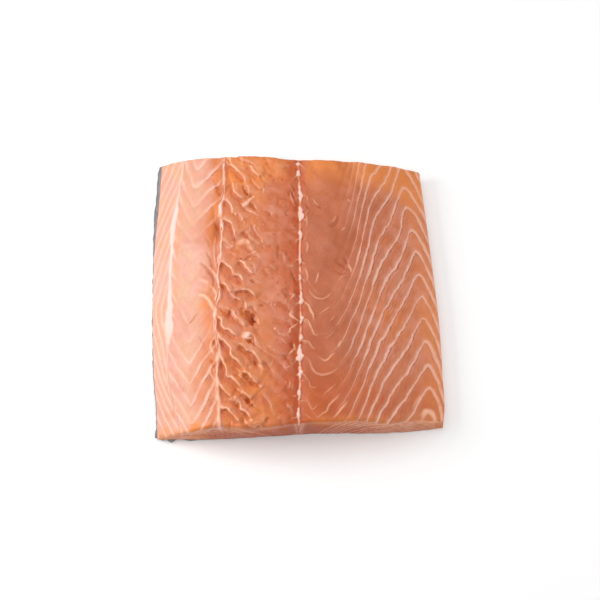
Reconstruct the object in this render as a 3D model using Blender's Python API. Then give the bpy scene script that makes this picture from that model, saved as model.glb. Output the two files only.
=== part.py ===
# Salmon fillet: a square-cut centre piece of raw fish, skin side down.
# The flesh is one solid, and the skin under it is a second solid that runs through the whole piece.
# Run with blender --background --python part.py, or from Blender's text editor.

import math

import bmesh
import bpy
import numpy as np

MM = 0.001  # the sizes below are in millimetres

# Plan outline of the flesh: X runs across the fish from the back to the belly, Y along it.
BACK_EDGE = ((-78, -74.4), (-55, -76.9), (-30, -77.9), (0, -79.3), (30, -79.0), (55, -77.6), (78, -76.6))
BELLY_EDGE = ((-75, 79.6), (-45, 79.5), (-12, 78.2), (15, 76.0), (45, 73.0), (72, 70.4))
ENDS = (-76.0, 72.0)  # mean places of the two cuts
NEAR_CUT = ((-76, -78.6), (-60, -79.2), (-25, -77.8), (5, -76.2), (60, -75.0), (78, -73.6))
FAR_CUT = ((-78, 79.0), (-64, 78.6), (-35, 74.8), (-5, 72.0), (35, 71.8), (70, 70.0))

# Thickness across the piece
CREST_HEIGHT = 31.0
CREST_BACK_X = -5.0  # the back shoulder falls away from here
CREST_BELLY_X = 5.0  # the belly side falls away from here
BACK_EDGE_HEIGHT = 3.9
BELLY_EDGE_HEIGHT = 7.6
BACK_ROUNDNESS = 2.6
BACK_FOOT = 1.15
BELLY_ROUNDNESS = 2.4
CUT_BULGE = 0.5  # how far the two cut faces bow outward
BELLY_UNDERCUT = 1.6  # how far the belly wall leans in at its foot

# Skin
SKIN_THICKNESS = 1.2
SKIN_GAP = 0.3  # touching meshes keep this gap
BACK_CURL = (9.0, 1.6)  # width and height of the skin's turned-up back edge
BELLY_CURL = (11.0, 2.8)  # the same at the belly edge
SKIN_SHOWS = ((-75, 2.4), (-52, 1.6), (-30, 0.6), (10, 0.3), (22, 0.8), (42, 2.2), (64, 2.0), (75, 1.2))
SKIN_BELLY_INSET = 2.6
SKIN_END_REACH = 0.6  # how far the skin pokes out under the cut faces
SKIN_EDGE_WAVE = 0.5
SKIN_LEAST_SHOWN = 0.2

# Lines along the fish: the groove over the backbone's place, and the fascia ridge left of it
MID_LINE = ((-78, 2.0), (-40, 2.7), (0, 3.0), (45, 2.7), (75, 1.4))
RIDGE_LINE = ((-78, -40.0), (-55, -41.4), (-20, -42.6), (10, -41.6), (50, -40.0), (75, -39.8))
BACK_SEAM = ((-78, -67.6), (-20, -68.8), (20, -69.2), (75, -68.4))

# Relief of the flesh
GROOVE_DEPTH = 1.3
GROOVE_HALF_WIDTH = 1.7
RIDGE_HEIGHT = 0.8
RIDGE_HALF_WIDTH = 1.3
RIDGE_FOOT_DEPTH = 0.9
RIDGE_FOOT_OFFSET = 3.2
RIDGE_FOOT_HALF_WIDTH = 1.9
RIDGE_FOOT_STARTS = (-10.0, 30.0)
SEAM_HEIGHT = 0.5
SEAM_HALF_WIDTH = 1.8
FLAKE_PITCH = 11.2  # one muscle block along the fish
FLAKE_SLANT = 1.3
FLAKE_HEIGHT = 1.7
FLAKE_RIM = 0.16  # share of the pitch in which a flake steps up
FLAKE_WOBBLE = (1.6, 1.1)
FLAKE_REACH = (18.0, 34.0)  # the torn flakes fade out between these distances from the ridge
BACK_SWELL = 0.45  # the V-shaped swells of the back shoulder
BACK_SWELL_LINE = ((-78, -53.6), (-40, -55.6), (0, -56.0), (40, -52.0), (75, -50.4))
BACK_SWELL_SLANT = -1.9
BACK_SWELL_REACH = 13.0
BELLY_SWELL = 0.3
BELLY_SWELL_LINE = ((-70, 72.0), (-20, 69.8), (20, 66.4), (62, 60.0))
BELLY_SWELL_SLANT = 2.1
BELLY_SWELL_REACH = 16.0
EDGE_CALM = (0.5, 4.0)  # the relief grows between these distances from the long edges

# Torn pits between the flakes: X, Y, half-width, half-length, depth
PITS = (
    (-35.4, -16.4, 3.2, 2.4, 2.0),
    (-23.6, -19.8, 4.6, 3.6, 3.0),
    (-22.0, -32.6, 3.2, 2.2, 1.8),
    (-1.9, -35.8, 2.0, 2.4, 2.0),
    (-25.0, -51.4, 3.6, 2.0, 1.6),
    (-24.5, -66.0, 3.6, 2.6, 1.8),
    (-20.8, -45.2, 1.8, 1.8, 1.6),
    (-43.6, -47.6, 1.8, 3.4, 1.5),
    (-44.4, 33.6, 1.9, 8.0, 1.6),
    (-24.8, 44.4, 2.8, 2.2, 1.6),
    (-26.6, 25.4, 3.2, 1.8, 1.5),
    (-24.0, 2.4, 4.8, 2.0, 1.4),
)

# Grid of the solids
BACK_COLUMNS = 14
FLAKE_COLUMNS = 28
BELLY_COLUMNS = 26
ROWS = 56
WALL_LEVELS = 4
SKIN_COLUMNS = 34
SKIN_ROWS = 36


def through(knots, at):
    """A smooth curve through the knots, read at one place or at many."""
    places = np.array([knot[0] for knot in knots], float)
    values = np.array([knot[1] for knot in knots], float)
    slopes = np.gradient(values, places)
    at = np.clip(at, places[0], places[-1])
    span = np.clip(np.searchsorted(places, at) - 1, 0, len(places) - 2)
    step = places[span + 1] - places[span]
    u = (at - places[span]) / step
    rise = (2 * u**3 - 3 * u**2 + 1) * values[span] + (3 * u**2 - 2 * u**3) * values[span + 1]
    lean = (u**3 - 2 * u**2 + u) * slopes[span] + (u**3 - u**2) * slopes[span + 1]
    return rise + lean * step


def hill(distance, half_width):
    return np.exp(-((distance / half_width) ** 2))


def fade(value, start, end):
    """0 before start, 1 after end, smooth between."""
    u = np.clip((value - start) / (end - start), 0, 1)
    return u * u * (3 - 2 * u)


def skin_lift(x, y):
    """Height of the skin's outer face over the floor: flat, with both long edges turned up."""
    from_back = (x - through(BACK_EDGE, y)) / BACK_CURL[0]
    from_belly = (through(BELLY_EDGE, y) - x) / BELLY_CURL[0]
    back = BACK_CURL[1] * np.clip(1 - from_back, 0, 1.3) ** 2
    belly = BELLY_CURL[1] * np.clip(1 - from_belly, 0, 1.3) ** 2
    return back + belly


def dome(x, y):
    """Smooth top of the flesh, before its relief."""
    back_edge = through(BACK_EDGE, y)
    belly_edge = through(BELLY_EDGE, y)
    to_back = np.clip((CREST_BACK_X - x) / (CREST_BACK_X - back_edge), 0, 1)
    to_belly = np.clip((x - CREST_BELLY_X) / (belly_edge - CREST_BELLY_X), 0, 1)
    back_fall = 1 - (1 - to_back**BACK_ROUNDNESS) ** BACK_FOOT
    belly_fall = to_belly**BELLY_ROUNDNESS
    drop = (CREST_HEIGHT - BACK_EDGE_HEIGHT) * back_fall + (CREST_HEIGHT - BELLY_EDGE_HEIGHT) * belly_fall
    return CREST_HEIGHT - drop


def flakes(x, y):
    """Torn muscle blocks right of the ridge: each steps up at its rim and sinks towards the next."""
    from_ridge = x - through(RIDGE_LINE, y)
    wobble = FLAKE_WOBBLE[0] * np.sin(0.23 * y + 0.9) + FLAKE_WOBBLE[1] * np.sin(0.41 * x - 0.17 * y)
    phase = (y + FLAKE_SLANT * from_ridge + wobble) / FLAKE_PITCH
    part = phase - np.floor(phase)
    saw = fade(part, 0, FLAKE_RIM) * (1 - part)
    where = fade(from_ridge, 0.5, 3.5) * (1 - fade(from_ridge, *FLAKE_REACH))
    return FLAKE_HEIGHT * (saw - 0.45) * where


def chevrons(x, y, line, slant, reach):
    """Soft V-shaped swells whose points lie on a line along the fish."""
    off_line = np.abs(x - through(line, y))
    phase = (y + slant * off_line) / FLAKE_PITCH
    return np.sin(2 * math.pi * phase) * (1 - fade(off_line, 0.7 * reach, reach))


def pit_depth(x, y):
    """Each pit is deepest at its belly side, under the rim of the next flake."""
    depth = np.zeros_like(x)
    for pit_x, pit_y, half_width, half_length, deepest in PITS:
        across = (x - pit_x) / half_width
        along = (y - pit_y) / half_length
        depth = depth + deepest * np.exp(-(across**2 + along**2)) * (1 + 0.35 * np.clip(across, -1, 1))
    return depth


def relief(x, y):
    from_mid = x - through(MID_LINE, y)
    from_ridge = x - through(RIDGE_LINE, y)
    from_seam = x - through(BACK_SEAM, y)
    groove = GROOVE_DEPTH * (hill(from_mid, GROOVE_HALF_WIDTH) + 0.5 * hill(from_mid, 4 * GROOVE_HALF_WIDTH))
    ridge = RIDGE_HEIGHT * hill(from_ridge, RIDGE_HALF_WIDTH)
    foot = RIDGE_FOOT_DEPTH * hill(from_ridge + RIDGE_FOOT_OFFSET, RIDGE_FOOT_HALF_WIDTH)
    foot *= fade(y, *RIDGE_FOOT_STARTS)
    seam = SEAM_HEIGHT * hill(from_seam, SEAM_HALF_WIDTH)
    swells = BACK_SWELL * chevrons(x, y, BACK_SWELL_LINE, BACK_SWELL_SLANT, BACK_SWELL_REACH)
    swells += BELLY_SWELL * chevrons(x, y, BELLY_SWELL_LINE, BELLY_SWELL_SLANT, BELLY_SWELL_REACH)
    return ridge + seam - groove - foot + flakes(x, y) + swells - pit_depth(x, y)


def row_places(along):
    """Where the rows would lie between two straight cuts."""
    return ENDS[0] + (ENDS[1] - ENDS[0]) * along


def between_cuts(x, along, reach, ripple):
    """Where the rows lie between the two wavy cuts, each moved outward by reach and ripple."""
    near = through(NEAR_CUT, x) - reach + ripple
    far = through(FAR_CUT, x) + reach - ripple
    return near + (far - near) * along


def flesh_plan():
    """Plan grid of the flesh: its columns follow the ridge and the groove exactly."""
    along = np.linspace(0, 1, ROWS)
    bands = (BACK_COLUMNS, FLAKE_COLUMNS, BELLY_COLUMNS)
    edges_and_lines = (BACK_EDGE, RIDGE_LINE, MID_LINE, BELLY_EDGE)
    lines = [through(knots, row_places(along)) for knots in edges_and_lines]
    columns = []
    for band, count in enumerate(bands):
        for step in range(count):
            share = step / count
            columns.append(lines[band] * (1 - share) + lines[band + 1] * share)
    columns.append(lines[-1])
    x = np.array(columns)
    return x, between_cuts(x, along, 0, 0)


def box_faces(columns, rows, levels, flat):
    """Faces of a solid on a grid, by (column, row, level). The flat columns of its base are one face."""
    last_column, last_row, last_level = columns - 1, rows - 1, levels - 1
    faces = []
    for i in range(last_column):
        for j in range(last_row):
            square = ((i, j), (i + 1, j), (i + 1, j + 1), (i, j + 1))
            faces.append(tuple((*corner, last_level) for corner in square))
            if not flat[0] <= i < flat[1]:
                faces.append(tuple((*corner, 0) for corner in reversed(square)))
    for k in range(last_level):
        for i in range(last_column):
            for row, start, end in ((0, i, i + 1), (last_row, i + 1, i)):
                faces.append(((start, row, k), (end, row, k), (end, row, k + 1), (start, row, k + 1)))
        for j in range(last_row):
            for side, start, end in ((last_column, j, j + 1), (0, j + 1, j)):
                faces.append(((side, start, k), (side, end, k), (side, end, k + 1), (side, start, k + 1)))
    base = [(flat[0], j, 0) for j in range(rows)]
    base += [(i, last_row, 0) for i in range(flat[0] + 1, flat[1])]
    base += [(flat[1], j, 0) for j in reversed(range(rows))]
    base += [(i, 0, 0) for i in reversed(range(flat[0] + 1, flat[1]))]
    return faces + [tuple(base)]


def solid(name, points, flat):
    """A closed mesh from points[column, row, level] in millimetres, of which only the outside is used."""
    columns, rows, levels = points.shape[:3]
    mesh = bpy.data.meshes.new(name)
    shape = bmesh.new()
    made = {}
    for face in box_faces(columns, rows, levels, flat):
        for corner in face:
            if corner not in made:
                made[corner] = shape.verts.new(points[corner] * MM)
        shape.faces.new([made[corner] for corner in face])
    bmesh.ops.triangulate(shape, faces=shape.faces[:], quad_method="SHORT_EDGE", ngon_method="BEAUTY")
    bmesh.ops.recalc_face_normals(shape, faces=shape.faces[:])
    shape.to_mesh(mesh)
    shape.free()
    mesh.shade_smooth()
    mesh.set_sharp_from_angle(angle=math.radians(50))
    thing = bpy.data.objects.new(name, mesh)
    bpy.context.scene.collection.objects.link(thing)
    return thing


def flat_columns(lift):
    """First and last column between which the base lies wholly on its plane."""
    lying = np.flatnonzero(np.all(lift == 0, axis=1))
    return int(lying[0]), int(lying[-1])


def make_flesh():
    x, y = flesh_plan()
    lift = skin_lift(x, y)
    bottom = lift + SKIN_THICKNESS + SKIN_GAP
    inside = fade(x - x[0], *EDGE_CALM) * fade(x[-1] - x, *EDGE_CALM)
    top = dome(x, y) + relief(x, y) * inside
    level = np.linspace(0, 1, WALL_LEVELS)
    points = np.zeros(x.shape + (WALL_LEVELS, 3))
    points[..., 0] = x[..., None]
    points[..., 1] = y[..., None]
    points[..., 2] = bottom[..., None] + (top - bottom)[..., None] * level
    bow = CUT_BULGE * np.sin(math.pi * level)
    points[:, 0, :, 1] -= bow
    points[:, -1, :, 1] += bow
    points[-1, :, :, 0] -= BELLY_UNDERCUT * (1 - level) ** 1.5
    return solid("flesh", points, flat_columns(lift))


def make_skin():
    across = np.linspace(0, 1, SKIN_COLUMNS)[:, None]
    along = np.linspace(0, 1, SKIN_ROWS)[None, :]
    rows = row_places(along)
    wave = SKIN_EDGE_WAVE * (np.sin(0.31 * rows) + 0.6 * np.sin(0.83 * rows + 1.1))
    back = through(BACK_EDGE, rows) - np.maximum(through(SKIN_SHOWS, rows) + 0.4 * wave, SKIN_LEAST_SHOWN)
    belly = through(BELLY_EDGE, rows) - SKIN_BELLY_INSET + 0.4 * wave
    x = back + (belly - back) * across
    ripple = SKIN_EDGE_WAVE * (np.sin(0.27 * x + 0.4) + 0.5 * np.sin(0.71 * x))
    y = between_cuts(x, along, SKIN_END_REACH, ripple)
    lift = skin_lift(x, y)
    points = np.zeros(x.shape + (2, 3))
    points[..., 0] = x[..., None]
    points[..., 1] = y[..., None]
    points[..., 2] = lift[..., None] + np.array([0.0, SKIN_THICKNESS])
    return solid("skin", points, flat_columns(lift))


def paint(thing, colour, roughness):
    material = bpy.data.materials.new(thing.name)
    material.use_nodes = True
    shader = material.node_tree.nodes["Principled BSDF"]
    shader.inputs["Base Color"].default_value = (*colour, 1)
    shader.inputs["Roughness"].default_value = roughness
    shader.inputs["Metallic"].default_value = 0.0
    thing.data.materials.append(material)


def centre_on_origin(things):
    """The piece stands on z = 0 with the middle of its box over the origin."""
    corners = np.array([list(vertex.co) for thing in things for vertex in thing.data.vertices])
    middle = (corners.min(axis=0) + corners.max(axis=0)) / 2
    for thing in things:
        for vertex in thing.data.vertices:
            vertex.co.x -= middle[0]
            vertex.co.y -= middle[1]


def clear_scene():
    for thing in list(bpy.data.objects):
        bpy.data.objects.remove(thing, do_unlink=True)


clear_scene()
flesh = make_flesh()
skin = make_skin()
centre_on_origin([flesh, skin])
paint(flesh, (0.62, 0.21, 0.10), 0.35)
paint(skin, (0.12, 0.13, 0.15), 0.30)
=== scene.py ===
import math

import bpy
import numpy as np
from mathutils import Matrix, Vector


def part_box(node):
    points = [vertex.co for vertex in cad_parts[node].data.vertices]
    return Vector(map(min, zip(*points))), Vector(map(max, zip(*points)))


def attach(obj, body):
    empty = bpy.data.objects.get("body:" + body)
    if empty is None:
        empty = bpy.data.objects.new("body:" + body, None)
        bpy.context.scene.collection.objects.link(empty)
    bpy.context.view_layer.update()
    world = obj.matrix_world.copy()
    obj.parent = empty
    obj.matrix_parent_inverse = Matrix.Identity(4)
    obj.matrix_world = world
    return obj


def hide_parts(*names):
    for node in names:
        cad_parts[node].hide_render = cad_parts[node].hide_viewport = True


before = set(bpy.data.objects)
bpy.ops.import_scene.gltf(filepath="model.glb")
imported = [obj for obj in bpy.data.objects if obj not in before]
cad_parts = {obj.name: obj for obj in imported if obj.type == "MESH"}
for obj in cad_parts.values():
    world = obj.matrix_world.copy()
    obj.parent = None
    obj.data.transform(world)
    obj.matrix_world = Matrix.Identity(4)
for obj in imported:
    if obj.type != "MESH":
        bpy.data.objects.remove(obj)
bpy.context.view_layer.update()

mm = 0.001  # lengths below are in millimetres: x across the fish, y along it, z up

# Lines along the fish, as (y, x) knots, from the back to the belly. The grid's columns follow each of them.
fishLines = {
    "backEdge": ((-78, -74.0), (-63, -74.9), (-46, -76.9), (-30, -77.9), (0, -79.1), (30, -79.0), (55, -77.6),
                 (78, -76.6)),
    "seam": ((-78, -60.7), (-68, -63.7), (-58, -66.4), (-48, -68.6), (-20, -68.8), (2, -68.8), (20, -68.8),
             (31, -68.6), (44, -67.8), (53, -66.2), (63, -65.2), (77, -63.2)),
    "vBottoms": ((-78, -54.4), (-62, -55.6), (-48, -56.4), (-20, -57.0), (35, -57.0), (52, -56.4),
                 (74, -55.0)),
    "ridge": ((-78, -39.4), (-60, -40.6), (-47, -41.4), (-36, -40.6), (-22, -42.7), (-13, -42.7), (-3, -41.1),
              (6, -42.0), (18, -40.6), (31, -40.1), (45, -41.0), (54, -39.6), (76, -40.0)),
    "flakeEnd": ((-78, -18.5), (0, -20.5), (76, -18.0)),
    "middle": ((-78, 2.0), (-48, 2.6), (-26, 2.9), (-4, 2.9), (19, 2.6), (48, 2.6), (60, 2.1), (76, 1.3)),
    "uBottoms": ((-78, 14.4), (0, 14.2), (76, 13.4)),
    "apex": ((-76, 71.5), (-53, 71.8), (-40, 71.0), (-15, 69.4), (0, 68.5), (12, 67.2), (25, 65.6),
             (36, 64.0), (49, 61.4), (62, 60.0), (76, 58.4)),
    "bellyEdge": ((-77, 77.4), (-73, 79.2), (-67, 80.2), (-45, 80.1), (-12, 78.9), (15, 76.6), (45, 73.7),
                  (72, 70.9)),
}

# The two cuts, as (x, y) knots of their feet, and how far their top edges lie beyond the feet along y
cuts = {
    "nearFoot": ((-76, -78.9), (-60, -79.6), (-25, -78.4), (5, -76.5), (60, -75.3), (78, -73.6)),
    "nearLean": ((-78, 0.0), (-60, 0.3), (-48, 1.2), (-37, 1.1), (-27, -0.7), (-14, -1.2), (0, -0.4),
                 (18, 0.0), (36, 1.1), (48, 0.5), (60, 2.2), (78, 3.0)),
    "farFoot": ((-78, 79.0), (-73, 80.0), (-64, 79.0), (-35, 75.0), (-20, 74.3), (-5, 72.6), (35, 71.8),
                (70, 70.0)),
    "farLean": ((-78, 0.0), (20, 0.2), (42, 0.8), (58, 2.6), (70, 4.4)),
    "length": 153.4,  # from cut to cut
}

body = {
    "crestHeight": 31.0,
    "backCrest": -5.0,  # the back shoulder falls away from here
    "bellyCrest": 5.0,  # the belly side falls away from here
    "backEdgeHeight": 3.9,
    "bellyEdgeHeight": 7.6,
    "backRoundness": 2.6,
    "backFoot": 1.15,
    "bellyRoundness": 2.4,
    "leastWall": 0.4,
    "cutBulge": 0.5,
    "footCurve": 1.4,  # how late the cuts lean out, going down
    "bellyUndercut": (1.6, 1.5),  # how far the foot is set back, and how late
    "backRim": 0.7,
    "cutRim": 1.6,
    "bellyRim": 1.8,
    "nearRimRounder": ((0.8, 10, 60), (0.6, -26, 16.0)),  # towards the belly, and round one x
    "edgeCalm": (0.3, 4.0),  # the relief sets in this far inside the long edges
    "cutRagged": (0.5, 9.0, 3.0),  # amount, patch size and reach
}

gridCounts = {
    "bands": (17, 20, 28, 54, 42, 20, 68, 15),  # columns between the lines
    "tight": ((0.6, 0), (0, 0), (0, 1.1), (1.1, 0), (0, 1.2), (1.2, 0), (0, 0), (0, 0.8)),
    "tightReach": 0.25,
    "rows": 280,
    "rimRows": (0.0, 0.12, 0.4, 0.85, 1.4),  # distances of the first rows from a cut
    "levels": 12,
    "passes": 4,
}

noiseTable = (97, 89)
noiseOrigin = 40.0
strokeSteps = 36


def through(knots, at):
    # a smooth curve through (place, value) knots
    places, values = np.array(knots, float).T
    slopes = np.gradient(values, places)
    at = np.clip(at, places[0], places[-1])
    span = np.clip(np.searchsorted(places, at) - 1, 0, len(places) - 2)
    step = places[span + 1] - places[span]
    u = (at - places[span]) / step
    rise = (2 * u**3 - 3 * u**2 + 1) * values[span] + (3 * u**2 - 2 * u**3) * values[span + 1]
    lean = (u**3 - 2 * u**2 + u) * slopes[span] + (u**3 - u**2) * slopes[span + 1]
    return rise + lean * step


def lineAt(name, y):
    return through(fishLines[name], y)


def nearEdge(x):
    return through(cuts["nearFoot"], x) + through(cuts["nearLean"], x)


def farEdge(x):
    return through(cuts["farFoot"], x) + through(cuts["farLean"], x)


def hill(distance, halfWidth):
    return np.exp(-((distance / halfWidth) ** 2))


def fade(value, start, end):
    # 0 at start and 1 at end, whichever of the two is the larger
    u = np.clip((value - start) / (end - start), 0, 1)
    return u * u * (3 - 2 * u)


def patches(x, y, size, seed):
    # smooth seeded noise from -1 to 1, in patches of this size
    wide, tall = noiseTable
    table = np.random.default_rng(seed).uniform(-1, 1, noiseTable)
    u = np.asarray(x, float) / size + noiseOrigin
    v = np.asarray(y, float) / size + noiseOrigin
    column = np.floor(u).astype(int)
    row = np.floor(v).astype(int)
    u = fade(u - column, 0, 1)
    v = fade(v - row, 0, 1)

    def across(line):
        return table[column % wide, line % tall] * (1 - u) + table[(column + 1) % wide, line % tall] * u

    return across(row) * (1 - v) + across(row + 1) * v


def patchesAlong(y, size, seed):
    return patches(y, 0 * y, size, seed)


def wobble(x, y, rows):
    # patches of several sizes: amount, size and seed of each
    return sum(amount * patches(x, y, size, seed) for amount, size, seed in rows)


def layers(x, y, size, seed, count=3, weaker=0.55):
    # patches of half the size and less strength each time
    total = sum(patches(x, y, size / 2**k, seed + k) * weaker**k for k in range(count))
    return total / sum(weaker**k for k in range(count))


def fromStroke(x, y, points, reach):
    # the grid points near a stroke, their distance from it, positive on its left, and their place along it
    points = np.array(points, float)
    run = np.concatenate(([0], np.cumsum(np.hypot(*np.diff(points, axis=0).T))))
    at = np.linspace(0, run[-1], strokeSteps + 1)
    line = np.stack([through(np.stack((run, points[:, k]), axis=1), at) for k in (0, 1)], axis=1)
    low = line.min(axis=0) - reach
    high = line.max(axis=0) + reach
    near = (x > low[0]) & (x < high[0]) & (y > low[1]) & (y < high[1])
    step = np.diff(line, axis=0)
    dx = x[near][:, None] - line[:-1, 0]
    dy = y[near][:, None] - line[:-1, 1]
    u = np.clip((dx * step[:, 0] + dy * step[:, 1]) / (step**2).sum(axis=1), 0, 1)
    away = np.hypot(dx - u * step[:, 0], dy - u * step[:, 1])
    best = away.argmin(axis=1)
    pick = np.arange(len(best))
    side = np.where(step[best, 0] * dy[pick, best] - step[best, 1] * dx[pick, best] > 0, 1.0, -1.0)
    return near, side * away[pick, best], (best + u[pick, best]) / len(step)


def raiseTo(field, near, value):
    field[near] = np.maximum(field[near], value)


def dome(x, y):
    toBack = np.clip((body["backCrest"] - x) / (body["backCrest"] - lineAt("backEdge", y)), 0, 1)
    toBelly = np.clip((x - body["bellyCrest"]) / (lineAt("bellyEdge", y) - body["bellyCrest"]), 0, 1)
    backFall = 1 - (1 - toBack ** body["backRoundness"]) ** body["backFoot"]
    bellyFall = toBelly ** body["bellyRoundness"]
    crest = body["crestHeight"]
    return crest - (crest - body["backEdgeHeight"]) * backFall - (crest - body["bellyEdgeHeight"]) * bellyFall


# The muscle blocks' walls: where each wall crosses the grid's lines
septa = {
    "backPitch": 11.28,
    "backBottom": -64.6,  # y of one V's point
    "leftArmRise": 21.0,
    "rightArmRise": (20.0, -0.09),  # rise at y 0, and its change with y
    "stripRise": 34.0,
    "stripTurn": (-9.8, 7.0),  # y where the strip's lines change their lean, and the length of that bend
    "flakeLag": 1.2,
    "midPitch": 11.34,
    "midStart": -42.2,  # y of one wall at the middle groove
    "uPitch": 11.3,
    "uStart": -51.7,
    "apexPitch": 12.8,
    "apexStart": 49.7,
    "edgeFall": 20.0,
    # how a wall runs from these lines to the next one
    "middle": ((0, 0), (0.12, 0.04), (0.3, 0.13), (0.42, 0.36), (0.6, 0.75), (0.74, 0.95), (1, 1)),
    "uBottoms": ((0, 0), (0.07, 0.018), (0.15, 0.06), (0.22, 0.13), (0.3, 0.232), (0.35, 0.298), (0.4, 0.373),
                 (0.45, 0.449), (0.5, 0.513), (0.55, 0.585), (0.6, 0.64), (0.7, 0.728), (0.8, 0.808),
                 (0.89, 0.897), (1, 1)),
    "apex": ((0, 0), (0.15, 0.06), (0.35, 0.2), (0.6, 0.46), (1, 1)),
    "farRise": ((0.54, 0.14, 0.03), (0.88, 0.1, -0.02)),  # changes of the middle curve towards the far cut
    "farFrom": (-5, 35),
    "farApex": (0.2, 46.5, 7.0, 48, 58),  # one point beyond its place: how far, y, half-length, x from and to
    "wander": ((0.07, 17.0, 11), (0.07, 7.0, 12), (0.05, 2.8, 13)),  # share of the pitch, patch size and seed
    "rounding": (("vBottoms", -1.6, 0.8), ("apex", 1.5, 0.9)),  # slope and radius of the rounded points
    "spread": 1.2,  # how far the walls lean towards the middle, deep in the cuts
    "gaps": (2.0, 16.0),  # least and largest distance between walls
    "cutGaps": (2.0, 14.0),
}


def septumPhase(x, y):
    # whole numbers are the walls between muscle blocks
    lines = {name: lineAt(name, y) for name in fishLines}
    pitch = septa["backPitch"]
    back = (y - septa["backBottom"]) / pitch
    seam = back - septa["leftArmRise"] / pitch
    turnY, bend = septa["stripTurn"]
    phase = (turnY - septa["backBottom"] - septa["leftArmRise"] + np.hypot(y - turnY, bend)) / pitch
    toBackEdge = np.clip((lines["seam"] - x) / (lines["seam"] - lines["backEdge"]), 0, 1)
    phase = phase + septa["stripRise"] / pitch * toBackEdge
    rise, change = septa["rightArmRise"]
    ridge = back - (rise + change * y) / pitch
    middle = (y - septa["midStart"]) / septa["midPitch"]
    bottom = (y - septa["uStart"]) / septa["uPitch"]
    apex = (y - septa["apexStart"]) / septa["apexPitch"]
    belly = apex + septa["edgeFall"] / septa["apexPitch"]
    atLines = (seam, back, ridge, middle + septa["flakeLag"], middle, bottom, apex, belly)
    names = list(fishLines)[1:]
    for band, (start, end) in enumerate(zip(names, names[1:])):
        share = np.clip((x - lines[start]) / (lines[end] - lines[start]), 0, 1)
        eased = through(septa[start], share) if start in septa else share
        if start == "uBottoms":
            changes = sum(change * hill(share - at, wide) for at, wide, change in septa["farRise"])
            eased = eased + changes * fade(y, *septa["farFrom"])
        phase = np.where(x >= lines[start], atLines[band] * (1 - eased) + atLines[band + 1] * eased, phase)
    for name, slope, radius in septa["rounding"]:
        away = np.abs(x - lines[name])
        phase = phase + slope * (np.sqrt(away**2 + radius**2) - away) / septa["apexPitch"]
    share, place, halfLength, start, end = septa["farApex"]
    phase = phase - share * hill(y - place, halfLength) * fade(x, start, end)
    return phase + wobble(x, y, septa["wander"])


def septumGap(x, y, step=0.4):
    # distance from one wall to the next, measured across them
    here = septumPhase(x, y)
    slope = np.hypot(septumPhase(x + step, y) - here, septumPhase(x, y + step) - here) / step
    return np.clip(1 / np.maximum(slope, 1e-3), *septa["gaps"])


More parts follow.
